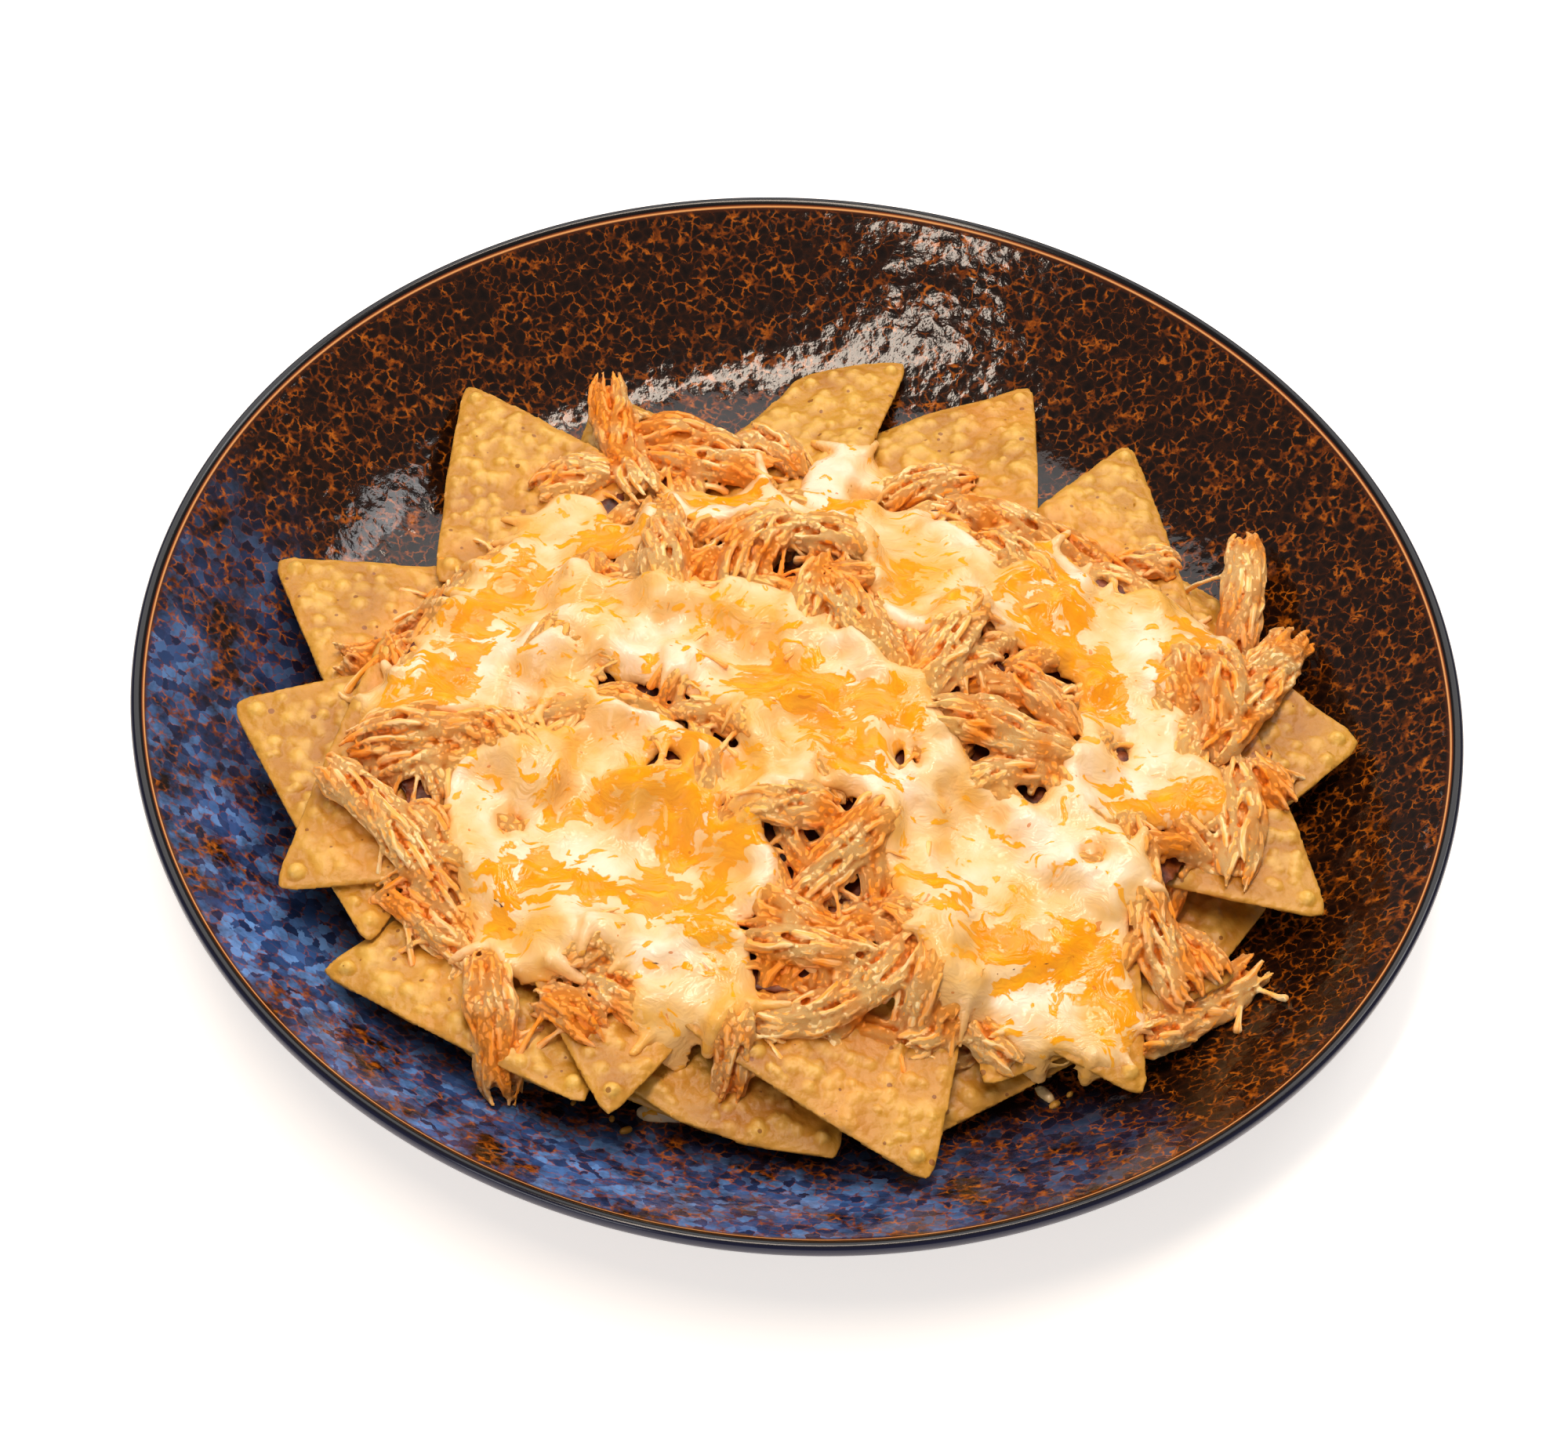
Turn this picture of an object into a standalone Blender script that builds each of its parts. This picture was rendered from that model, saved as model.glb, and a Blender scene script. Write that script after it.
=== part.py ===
"""Nachos in a shallow stoneware bowl.

Corn tortilla chips lie in a ring with their corners up on the bowl's wall.
Shredded chicken is heaped over their inner ends, and melted cheese covers it.
Metres, +Z up. The origin is the centre of the foot ring, on the table.
"""
import math

import bmesh
import bpy
import numpy as np
from mathutils import Matrix, Vector, noise
from mathutils.bvhtree import BVHTree

MM = 0.001
GAP = 0.35 * MM                    # kept free between pieces that touch

# ---- bowl ----
BOWL_STEPS = 64                    # facets round the bowl
FOOT_INNER = 52.0 * MM
FOOT_OUTER = 57.0 * MM
FOOT_HEIGHT = 3.0 * MM
FLOOR_Z = 8.0 * MM
FLOOR_RADIUS = 97.0 * MM
LIP_RADIUS = 137.0 * MM            # inner edge of the rim
LIP_Z = 31.5 * MM
RIM_RADIUS = 140.0 * MM
RIM_TOP_Z = 33.0 * MM
RIM_UNDER_Z = 29.0 * MM
WALL_CURVE = ((124.0, 25.0), (111.0, 9.5))      # mm, bends the inner wall
BELLY_START = (92.0, 3.2)                       # mm, where the underside starts to rise
BELLY_CURVE = ((122.0, 16.0), (112.0, 3.6))     # mm, bends the outer wall

# ---- chips ----
CHIP_THICKNESS = 1.7 * MM
CHIP_CORNER = 4.5 * MM             # rounding of each corner
CHIP_BOW = 0.002                   # rise across the chip for each mm squared, in mm
CHIP_SPREAD = 1.02                 # room kept round a chip when it is laid
TILTS = range(-4, 25, 2)           # degrees tried when a chip settles
ROLLS = range(-12, 13, 3)
LIFT_STEP = 0.15 * MM

# Each chip in the order they are laid: the corner's bearing in degrees and its
# distance from the middle in mm, the way the chip points from there, the
# corner's angle, its length in mm and how far its left side bulges.
CHIPS = (
    (-154, 106, 338, 60, 54, 0.0),
    (-19, 109, 207, 60, 54, 0.0),
    (-76, 109, 64, 60, 54, 0.0),
    (-127, 108, 12, 60, 54, 0.0),
    (20, 109, 180, 60, 54, 0.0),
    (-33, 113, 182, 60, 54, 0.0),
    (119, 106, 290, 58, 54, 0.0),
    (-82, 112, 124, 68, 54, 6.0),
    (-139, 122, 4, 60, 56, 3.0),
    (167, 120, 330, 68, 56, 0.0),
    (134, 118, 299, 56, 56, 0.0),
    (51, 112, 258, 52, 56, 0.0),
    (65, 113, 240, 64, 55, 0.0),
    (80, 110, 226, 62, 56, 0.0),
    (-171, 120, 341, 76, 54, 0.0),
    (0, 121, 185, 82, 52, 0.0),
    (-147, 122, 46, 64, 57, 0.0),
    (-23, 122, 141, 64, 57, 0.0),
    (-105, 116, 90, 60, 55, 0.0),
    (-74, 122, 118, 68, 58, 0.0),
    (-51, 120, 127, 61, 57, 0.0),
)
BROKEN_CHIP = 14                   # this one has lost its right-hand corner
BREAK_ON_SIDE = 0.38               # where the break meets the side and the base
BREAK_ON_BASE = 0.40

# ---- heap ----
BED_RADIUS = 62.0 * MM
BED_HEIGHT = 21.0 * MM
HEAP_RADIUS = 108.0 * MM
HEAP_HEIGHT = 37.0 * MM            # over the bowl's floor
HEAP_SQUARENESS = 0.8
SECTORS = 56
RINGS = 8
LUMP_SIZE = 15.0 * MM
LUMP_HEIGHT = 3.0 * MM
CHICKEN_MIN = 2.0 * MM
CHEESE_THICKNESS = 2.6 * MM
CHEESE_RIPPLE = 0.7 * MM
SAMPLE = 1.5 * MM                  # spacing of the heights measured under a layer
DROP_FROM = 0.12                   # height that measuring starts at

# How far each layer reaches, in mm, every 30 degrees from +X round by +Y.
CHICKEN_REACH = (103, 97, 92, 84, 95, 97, 92, 92, 97, 84, 88, 100)
CHEESE_REACH = (84, 86, 84, 82, 84, 88, 84, 80, 84, 86, 90, 86)

# Places where chicken shows through the cheese: first and last sector, rings.
CHEESE_HOLES = (
    (1, 4, 3, 5),
    (12, 16, 3, 5),
    (29, 32, 3, 5),
    (40, 43, 4, 6),
    (46, 50, 2, 4),
)


def clear_scene():
    for item in list(bpy.data.objects):
        bpy.data.objects.remove(item, do_unlink=True)


def srgb(code):
    """Linear colour from an sRGB hex code."""
    parts = [int(code[i:i + 2], 16) / 255.0 for i in (0, 2, 4)]
    return tuple(c / 12.92 if c <= 0.04045 else ((c + 0.055) / 1.055) ** 2.4 for c in parts) + (1.0,)


def material(name, code, roughness):
    made = bpy.data.materials.new(name)
    made.use_nodes = True
    shader = made.node_tree.nodes["Principled BSDF"]
    shader.inputs["Base Color"].default_value = srgb(code)
    shader.inputs["Roughness"].default_value = roughness
    shader.inputs["Metallic"].default_value = 0.0
    return made


def finish(name, bm, paint, sharp_degrees):
    """Turn a bmesh into a named object with its material."""
    bmesh.ops.recalc_face_normals(bm, faces=bm.faces)
    bmesh.ops.triangulate(bm, faces=bm.faces)
    mesh = bpy.data.meshes.new(name)
    bm.to_mesh(mesh)
    bm.free()
    mesh.materials.append(paint)
    mesh.shade_smooth()
    mesh.set_sharp_from_angle(angle=math.radians(sharp_degrees))
    piece = bpy.data.objects.new(name, mesh)
    bpy.context.scene.collection.objects.link(piece)
    return piece


def bezier(start, first, second, end, steps):
    """Points along a cubic curve, without its start."""
    points = []
    for i in range(1, steps + 1):
        t = i / steps
        u = 1.0 - t
        weights = (u ** 3, 3 * t * u * u, 3 * t * t * u, t ** 3)
        points.append(tuple(sum(w * p[k] for w, p in zip(weights, (start, first, second, end)))
                            for k in range(2)))
    return points


# ---- bowl ----

def bowl_profile():
    """Radius and height pairs from the base's middle, round the rim, to the floor's middle."""
    base_z = 2.0 * MM
    wall = [(r * MM, z * MM) for r, z in WALL_CURVE]
    belly = [(r * MM, z * MM) for r, z in BELLY_CURVE]
    profile = [(0.0, base_z), (FOOT_INNER - 2.0 * MM, base_z), (FOOT_INNER, 0.0),
               (FOOT_OUTER - 0.8 * MM, 0.0), (FOOT_OUTER, FOOT_HEIGHT * 0.4),
               (FOOT_OUTER + 0.5 * MM, FOOT_HEIGHT)]
    under = (RIM_RADIUS - 1.2 * MM, RIM_UNDER_Z)
    profile.append((BELLY_START[0] * MM, BELLY_START[1] * MM))
    profile += bezier(profile[-1], belly[1], belly[0], under, 5)
    middle_z = (RIM_TOP_Z + RIM_UNDER_Z) / 2
    profile += bezier(under, (RIM_RADIUS, RIM_UNDER_Z + 0.6 * MM),
                      (RIM_RADIUS, middle_z), (RIM_RADIUS - 0.2 * MM, middle_z + 1.0 * MM), 2)
    lip = (LIP_RADIUS, LIP_Z)
    profile += bezier(profile[-1], (RIM_RADIUS - 0.6 * MM, RIM_TOP_Z),
                      (LIP_RADIUS + 1.2 * MM, RIM_TOP_Z), lip, 3)
    profile += bezier(lip, wall[0], wall[1], (FLOOR_RADIUS, FLOOR_Z), 8)
    profile.append((0.0, FLOOR_Z))
    return profile


def make_bowl(paint):
    bm = bmesh.new()
    rail = [bm.verts.new((r, 0.0, z)) for r, z in bowl_profile()]
    edges = [bm.edges.new(pair) for pair in zip(rail, rail[1:])]
    bmesh.ops.spin(bm, geom=rail + edges, cent=(0, 0, 0), axis=(0, 0, 1),
                   angle=math.tau, steps=BOWL_STEPS, use_merge=True)
    bmesh.ops.remove_doubles(bm, verts=bm.verts, dist=0.01 * MM)
    return finish("plate", bm, paint, 40)


# ---- chips ----

def side_points(start, end, bulge, steps):
    """Points along one side, pushed out in a shallow arc."""
    along = end - start
    outward = Vector((along.y, -along.x)).normalized()
    return [start + along * (i / steps) + outward * bulge * math.sin(math.pi * i / steps)
            for i in range(1, steps)]


def chip_corners(row):
    """Corners of a chip that points along +X from the origin, with each side's bulge."""
    length = row[4] * MM
    width = length * math.tan(math.radians(row[3] / 2))
    tip, right, left = Vector((0.0, 0.0)), Vector((length, -width)), Vector((length, width))
    left_bulge = (0.6 + row[5]) * MM
    if row is CHIPS[BROKEN_CHIP - 1]:
        corners = [tip, tip.lerp(right, BREAK_ON_SIDE), right.lerp(left, BREAK_ON_BASE), left]
        return corners, (0.3 * MM, -0.8 * MM, 0.5 * MM, left_bulge)
    return [tip, right, left], (0.6 * MM, 0.8 * MM, left_bulge)


def chip_outline(row):
    """The chip's rounded outline and its middle."""
    corners, bulges = chip_corners(row)
    outline = []
    for i, corner in enumerate(corners):
        following = corners[(i + 1) % len(corners)]
        before = (corners[i - 1] - corner).normalized()
        after = (following - corner).normalized()
        arc_start = corner + before * CHIP_CORNER
        arc_end = corner + after * CHIP_CORNER
        outline += [arc_start, (arc_start + arc_end) * 0.25 + corner * 0.5, arc_end]
        outline += side_points(arc_end, following - after * CHIP_CORNER, bulges[i], 4)
    return outline, sum(outline, Vector((0.0, 0.0))) / len(outline)


def chip_rise(flat, middle):
    """Height of the chip's bowed middle layer."""
    across = (flat - middle) / MM
    return CHIP_BOW * (across.y ** 2 - 0.4 * across.x ** 2) * MM


def chip_mesh(row, spread, thickness):
    """The chip flat on the ground plane, bowed, with its corner at the origin."""
    outline, middle = chip_outline(row)
    count = len(outline)
    bm = bmesh.new()
    caps = []
    for side in (1, -1):
        loops = []
        for size in (spread, spread * 0.5):
            flats = [middle + (p - middle) * size for p in outline]
            loops.append([bm.verts.new((p.x, p.y, chip_rise(p, middle) + side * thickness / 2))
                          for p in flats])
        hub = bm.verts.new((middle.x, middle.y, side * thickness / 2))
        for i in range(count):
            j = (i + 1) % count
            bm.faces.new((loops[0][i], loops[0][j], loops[1][j], loops[1][i]))
            bm.faces.new((loops[1][i], loops[1][j], hub))
        caps.append(loops[0])
    for i in range(count):
        j = (i + 1) % count
        bm.faces.new((caps[0][i], caps[0][j], caps[1][j], caps[1][i]))
    return bm


def underside_points(row):
    """Points spread over the chip's underside, before it is placed."""
    outline, middle = chip_outline(row)
    points = []
    for size in (1.0, 0.9, 0.75, 0.6, 0.45, 0.3, 0.15, 0.0):
        for start, end in zip(outline, outline[1:] + outline[:1]):
            for part in (0.0, 0.5):
                flat = middle + (start.lerp(end, part) - middle) * size
                points.append((flat.x, flat.y, chip_rise(flat, middle) - CHIP_THICKNESS / 2))
    return np.array(points), Vector((middle.x, middle.y, 0.0))


def chip_turn(row, tilt, roll):
    """Matrix that turns a chip to its heading, tilts it up and rolls it, in degrees."""
    heading = Matrix.Rotation(math.radians(row[2]), 4, "Z")
    lean = Matrix.Rotation(-math.radians(tilt), 4, "Y")
    return heading @ lean @ Matrix.Rotation(math.radians(roll), 4, "X")


def settle(row, surface):
    """The tilt, roll and height at which the chip's middle lies lowest on a surface."""
    bearing, reach = math.radians(row[0]), row[1] * MM
    foot = Vector((reach * math.cos(bearing), reach * math.sin(bearing), 0.0))
    points, middle = underside_points(row)
    best = None
    for tilt in TILTS:
        for roll in ROLLS:
            turn = chip_turn(row, tilt, roll)
            spun = points @ np.array(turn.to_3x3()).T
            below = surface.at(spun[:, 0] + foot.x, spun[:, 1] + foot.y)
            lift = float(np.max(below - spun[:, 2]))
            height = lift + (turn @ middle).z
            if best is None or height < best[0]:
                best = (height, lift, turn)
    return best[2], foot + Vector((0.0, 0.0, best[1] + 2 * GAP))


def tree_of(piece):
    """Search tree of an object's triangles."""
    mesh = piece.data
    return BVHTree.FromPolygons([v.co for v in mesh.vertices], [p.vertices for p in mesh.polygons])


def is_clear(row, place, trees):
    """True where the chip, with some room round it, touches nothing laid before."""
    bm = chip_mesh(row, CHIP_SPREAD, CHIP_THICKNESS + 2 * GAP)
    bm.transform(place)
    tree = BVHTree.FromBMesh(bm)
    bm.free()
    return not any(tree.overlap(other) for other in trees)


def make_chip(name, row, surface, paint):
    """Lay a chip where it settles, and raise it until it is clear of the rest."""
    turn, foot = settle(row, surface)
    while not is_clear(row, Matrix.Translation(foot) @ turn, surface.trees):
        foot.z += LIFT_STEP
    bm = chip_mesh(row, 1.0, CHIP_THICKNESS)
    bm.transform(Matrix.Translation(foot) @ turn)
    return finish(name, bm, paint, 50)


def make_bed(paint):
    """The chips in the middle of the bowl, under the heap, as one low dome."""
    bm = bmesh.new()
    bmesh.ops.create_uvsphere(bm, u_segments=24, v_segments=10, radius=1.0)
    low = [v for v in bm.verts if v.co.z < -0.01]
    bmesh.ops.delete(bm, geom=low, context="VERTS")
    rim = [e for e in bm.edges if e.is_boundary]
    bmesh.ops.contextual_create(bm, geom=rim)
    bmesh.ops.scale(bm, vec=(BED_RADIUS, BED_RADIUS, BED_HEIGHT), verts=bm.verts)
    bmesh.ops.translate(bm, vec=(0, 0, FLOOR_Z + GAP), verts=bm.verts)
    return finish("chip_bed", bm, paint, 50)


# ---- chicken and cheese ----

def reach_at(reaches, angle):
    """Smooth distance from the middle at an angle, through values at even steps."""
    place = (angle / math.tau * len(reaches)) % len(reaches)
    low = int(place)
    mix = (1 - math.cos(math.pi * (place - low))) / 2
    return (reaches[low] * (1 - mix) + reaches[(low + 1) % len(reaches)] * mix) * MM


def heap_height(x, y):
    """Height of the chicken's dome, with lumps as large as a shred's bundle."""
    away = min(1.0, (x * x + y * y) / HEAP_RADIUS ** 2)
    lump = noise.noise(Vector((x, y, 0.0)) / LUMP_SIZE) * LUMP_HEIGHT
    return FLOOR_Z + HEAP_HEIGHT * (1 - away) ** HEAP_SQUARENESS + lump


class Surface:
    """Heights of what has been laid so far, on an even grid."""

    def __init__(self):
        self.count = int(RIM_RADIUS / SAMPLE)
        side = 2 * self.count + 1
        self.heights = np.zeros((side, side))
        self.trees = []

    def add(self, piece):
        """Raise the grid to a new piece's top."""
        tree = tree_of(piece)
        self.trees.append(tree)
        down = Vector((0, 0, -1))
        spots = [v.co for v in piece.data.vertices]
        first, last = [[int(pick(p[k] for p in spots) / SAMPLE) + step for k in range(2)]
                       for pick, step in ((min, -1), (max, 1))]
        for i in range(max(first[0], -self.count), min(last[0], self.count) + 1):
            for j in range(max(first[1], -self.count), min(last[1], self.count) + 1):
                hit = tree.ray_cast(Vector((i * SAMPLE, j * SAMPLE, DROP_FROM)), down)[0]
                if hit:
                    cell = (i + self.count, j + self.count)
                    self.heights[cell] = max(self.heights[cell], hit.z)

    def at(self, x, y):
        """Height at each of many points."""
        limit = 2 * self.count
        i = np.clip(np.rint(x / SAMPLE).astype(int) + self.count, 0, limit)
        j = np.clip(np.rint(y / SAMPLE).astype(int) + self.count, 0, limit)
        return self.heights[i, j]

    def highest(self, x, y, radius):
        """Highest point within a radius, so that a flat facet above it stays clear."""
        span = int(math.ceil(radius / SAMPLE))
        steps = np.arange(-span, span + 1) * SAMPLE
        dx, dy = np.meshgrid(steps, steps)
        near = dx ** 2 + dy ** 2 <= radius ** 2
        return float(np.max(self.at(x + dx[near], y + dy[near])))


def make_layer(name, reaches, surface, top_height, holes, paint):
    """A closed layer on a round grid, lying on a surface, with openings left out."""
    bm = bmesh.new()
    levels = {}

    def corner(ring, sector):
        key = (ring, sector % SECTORS if ring else 0)
        if key not in levels:
            angle = math.tau * key[1] / SECTORS
            radius = reach_at(reaches, angle) * ring / RINGS
            x, y = radius * math.cos(angle), radius * math.sin(angle)
            apart = max(math.tau * radius / SECTORS, max(reaches) * MM / RINGS) * 1.2
            low = surface.highest(x, y, apart) + GAP
            levels[key] = (bm.verts.new((x, y, top_height(x, y, low))), bm.verts.new((x, y, low)))
        return levels[key]

    def is_open(ring, sector):
        return any(first <= sector < last and inner <= ring < outer
                   for first, last, inner, outer in holes)

    kept = [(ring, sector) for ring in range(RINGS) for sector in range(SECTORS)
            if not is_open(ring, sector)]
    sides = {}
    for ring, sector in kept:
        round_it = [corner(ring, sector), corner(ring + 1, sector),
                    corner(ring + 1, sector + 1), corner(ring, sector + 1)]
        if ring == 0:
            round_it.pop()
        bm.faces.new([pair[0] for pair in round_it])
        bm.faces.new([pair[1] for pair in reversed(round_it)])
        for a, b in zip(round_it, round_it[1:] + round_it[:1]):
            if (b[0], a[0]) in sides:
                del sides[b[0], a[0]]
            else:
                sides[a[0], b[0]] = (b[0], a[0], a[1], b[1])
    for wall in sides.values():
        bm.faces.new(wall)
    return finish(name, bm, paint, 60)


def chicken_top(x, y, low):
    return max(heap_height(x, y), low + CHICKEN_MIN)


def cheese_top(x, y, low):
    ripple = noise.noise(Vector((x, y, 0.05)) / LUMP_SIZE * 2) * CHEESE_RIPPLE
    return low + CHEESE_THICKNESS + ripple


def main():
    clear_scene()
    glaze = material("glaze", "3A1F14", 0.25)
    corn = material("tortilla", "E2B062", 0.6)
    meat = material("chicken", "E8A468", 0.5)
    melt = material("cheese", "F5C96B", 0.35)

    surface = Surface()
    surface.add(make_bowl(glaze))
    surface.add(make_bed(corn))
    for number, row in enumerate(CHIPS, start=1):
        surface.add(make_chip(f"chip_{number:02d}", row, surface, corn))

    chicken = make_layer("shredded_chicken", CHICKEN_REACH, surface, chicken_top, (), meat)
    surface.add(chicken)
    make_layer("melted_cheese", CHEESE_REACH, surface, cheese_top, CHEESE_HOLES, melt)


main()
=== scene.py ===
"""Looks for nachos in a shallow stoneware bowl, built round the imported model.

The bowl is turned and dimpled, each tortilla chip is blistered over its own solid, the
shredded chicken is made of fibre bundles, and the melted cheese is draped over all of it.
Metres, +Z up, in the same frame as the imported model.
"""
import math
import random

import bpy
import numpy as np
from mathutils import Matrix, Vector, kdtree, noise
from mathutils.bvhtree import BVHTree


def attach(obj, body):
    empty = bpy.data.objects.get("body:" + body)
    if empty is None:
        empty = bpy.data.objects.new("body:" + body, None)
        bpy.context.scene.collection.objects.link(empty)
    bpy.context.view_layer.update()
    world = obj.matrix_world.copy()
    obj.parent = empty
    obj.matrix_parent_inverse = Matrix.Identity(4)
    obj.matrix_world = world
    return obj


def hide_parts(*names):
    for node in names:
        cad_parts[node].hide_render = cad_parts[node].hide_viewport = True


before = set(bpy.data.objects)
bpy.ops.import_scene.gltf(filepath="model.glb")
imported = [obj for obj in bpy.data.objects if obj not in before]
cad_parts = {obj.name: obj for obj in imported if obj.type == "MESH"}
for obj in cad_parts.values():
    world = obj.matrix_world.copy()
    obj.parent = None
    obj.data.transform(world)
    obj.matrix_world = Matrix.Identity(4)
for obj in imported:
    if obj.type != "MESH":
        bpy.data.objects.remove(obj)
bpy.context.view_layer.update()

MM = 0.001
BODY = "root"

# ---- camera and light ----
LENS = 85.0
SENSOR = 36.0
CAMERA_ELEVATION = math.radians(52.27)
CAMERA_ROLL = math.radians(4.96)
CAMERA_DISTANCE = 772.2 * MM
CAMERA_AIM = Vector((-2.85, -13.13, 31.5)) * MM
FLOOR_GLOW = 0.57                  # keeps the pale floor near white outside the bowl's shadow
SKY_STRENGTH = 0.27

# ---- bowl, in mm ----
FOOT_INNER = 52.0
FOOT_OUTER = 57.0
FOOT_HEIGHT = 3.0
BASE_Z = 2.0
FLOOR_Z = 8.0
FLOOR_RADIUS = 97.0
LIP = (137.0, 31.5)
RIM_RADIUS = 140.0
RIM_TOP_Z = 33.0
RIM_UNDER_Z = 29.0
WALL_CURVE = ((127.0, 25.0), (112.0, 9.0))
BELLY_START = (92.0, 3.2)
BELLY_CURVE = ((122.0, 16.0), (112.0, 3.6))
BOWL_STEPS = 420
DIMPLE_SIZE = 7.0 * MM
DIMPLE_DEPTH = 0.4 * MM
DIMPLES_GROW = (82.0, 96.0)        # radius where the dimples start to deepen, and where they are full
DIMPLES_LEAST = 0.4                # their depth inside that, as a part of the full one
DIMPLES_STOP = 4.0                 # width of the smooth band inside the lip
GLAZE_CELLS = 400.0                # cells in a metre: they are about 2.5 mm across
# The blue laid on this side of the bowl is partly the glaze's own colour and partly a painted
# reflection.
BLUE_GLAZE_AND_SHEEN_SIDE = (-0.58, -0.81, 0.0)  # direction of the blue side from the middle
RIM_BAND = (0.1355, 0.0045)        # radius in metres where the rim's colours start, and their width

# ---- chips ----
CHIP_VOXEL = 0.7 * MM
CHIP_FACES = 12000                 # most triangles in one chip
BLISTERS = 210
BLISTER_RADIUS = (1.0, 2.4)        # mm
BLISTER_HEIGHT = (0.45, 0.95)      # mm
CORNER_BUMP = (2.0, 1.7)           # mm: radius and height of the bubble inside each corner
CORNER_INSET = 4.6                 # mm from the corner to that bubble
PINCH = 2.2                        # mm: width of the pressed edge
CORNER_REACH = 22.0                # mm: two places nearer than this belong to the same corner
WAVE_SIZE = 13.0                   # mm
WAVE_HEIGHT = 0.7                  # mm


# ---- small tools ----

def linear(code, alpha=1.0):
    """Linear colour from an sRGB hex code."""
    parts = [int(code[i:i + 2], 16) / 255.0 for i in (0, 2, 4)]
    return tuple(c / 12.92 if c <= 0.04045 else ((c + 0.055) / 1.055) ** 2.4 for c in parts) + (alpha,)


def add_node(tree, kind, inputs=None, stops=None, **settings):
    """Add a shader node, set it up, and fill or link its inputs. stops fill a colour ramp."""
    made = tree.nodes.new(kind)
    for name, value in settings.items():
        setattr(made, name, value)
    for key, value in (inputs or {}).items():
        if isinstance(value, bpy.types.NodeSocket):
            tree.links.new(value, made.inputs[key])
        else:
            made.inputs[key].default_value = value
    if stops:
        ramp = made.color_ramp
        while len(ramp.elements) < len(stops):
            ramp.elements.new(1.0)
        for element, (place, code) in zip(ramp.elements, stops):
            element.position = place
            element.color = linear(code)
    return made


def new_material(name, **values):
    """A material with its shader's plain values set, and its node tree."""
    made = bpy.data.materials.new(name)
    made.use_nodes = True
    shader = made.node_tree.nodes["Principled BSDF"]
    for key, value in values.items():
        shader.inputs[key.replace("_", " ")].default_value = value
    return made, made.node_tree, shader


def only(piece):
    """Select one piece and make it the active one."""
    bpy.ops.object.select_all(action="DESELECT")
    piece.select_set(True)
    bpy.context.view_layer.objects.active = piece


def apply_modifier(piece, name, kind, **settings):
    """Add a modifier and apply it at once."""
    only(piece)
    modifier = piece.modifiers.new(name, kind)
    for key, value in settings.items():
        setattr(modifier, key, value)
    bpy.ops.object.modifier_apply(modifier=name)


def reskin(piece, voxel, rounds):
    """Fuse a piece into one even skin, and smooth it a few rounds."""
    apply_modifier(piece, "skin", "REMESH", mode="VOXEL", voxel_size=voxel)
    apply_modifier(piece, "soften", "SMOOTH", factor=0.5, iterations=rounds)


def merge_doubles(piece, nearest, outward=True):
    """Merge points that lie together, and turn the faces outward."""
    only(piece)
    bpy.ops.object.mode_set(mode="EDIT")
    bpy.ops.mesh.select_all(action="SELECT")
    bpy.ops.mesh.remove_doubles(threshold=nearest)
    if outward:
        bpy.ops.mesh.normals_make_consistent(inside=False)
    bpy.ops.object.mode_set(mode="OBJECT")


def thin_out(piece, most):
    """Bring a piece down to a number of triangles, if it has more."""
    count = sum(len(face.vertices) - 2 for face in piece.data.polygons)
    if count > most:
        apply_modifier(piece, "thin", "DECIMATE", ratio=most / count)


def new_piece(name, vertices, faces):
    mesh = bpy.data.meshes.new(name)
    mesh.from_pydata(vertices, [], faces)
    piece = bpy.data.objects.new(name, mesh)
    bpy.context.scene.collection.objects.link(piece)
    return piece


def points_of(piece):
    found = np.empty(len(piece.data.vertices) * 3)
    piece.data.vertices.foreach_get("co", found)
    return found.reshape(-1, 3)


def move_points(piece, points):
    piece.data.vertices.foreach_set("co", points.ravel())
    piece.data.update()


def normals_of(piece):
    found = np.empty(len(piece.data.vertices) * 3)
    piece.data.vertex_normals.foreach_get("vector", found)
    return found.reshape(-1, 3)


def paint(piece, name, values):
    """Store one number a vertex, for a material to read."""
    layer = piece.data.attributes.new(name, "FLOAT", "POINT")
    layer.data.foreach_set("value", np.asarray(values, np.float32))


def paint_vectors(piece, name, vectors):
    layer = piece.data.attributes.new(name, "FLOAT_VECTOR", "POINT")
    layer.data.foreach_set("vector", np.asarray(vectors, np.float32).ravel())


def tree_of(piece):
    """A piece's faces in a form that rays can be cast at."""
    mesh = piece.data
    corners = np.empty(len(mesh.loops), int)
    mesh.loops.foreach_get("vertex_index", corners)
    starts = [p.loop_start for p in mesh.polygons] + [len(corners)]
    faces = [corners[a:b].tolist() for a, b in zip(starts, starts[1:])]
    return BVHTree.FromPolygons(points_of(piece).tolist(), faces)


def finish_piece(piece, material, slot, *nodes):
    """Give a piece its material and its place in the model."""
    piece.data.materials.clear()
    piece.data.materials.append(material)
    piece.data.shade_smooth()
    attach(piece, BODY)
    if nodes:
        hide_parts(*nodes)
    return piece


def bezier(start, first, second, end, steps):
    """Points along a cubic curve, without its start."""
    points = []
    for i in range(1, steps + 1):
        t = i / steps
        u = 1.0 - t
        weights = (u ** 3, 3 * t * u * u, 3 * t * t * u, t ** 3)
        points.append(tuple(sum(w * p[k] for w, p in zip(weights, (start, first, second, end)))
                            for k in range(2)))
    return points


def straight(start, end, steps):
    """Points along a straight line, without its start."""
    return [tuple(a + (b - a) * i / steps for a, b in zip(start, end)) for i in range(1, steps + 1)]


# ---- materials ----

def share(tree, value, low, high, start=0.0, end=1.0, **settings):
    """How far a value is on the way from low to high, given as a number from start to end."""
    return add_node(tree, "ShaderNodeMapRange", {0: value, 1: low, 2: high, 3: start, 4: end},
                    **settings).outputs[0]


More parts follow.
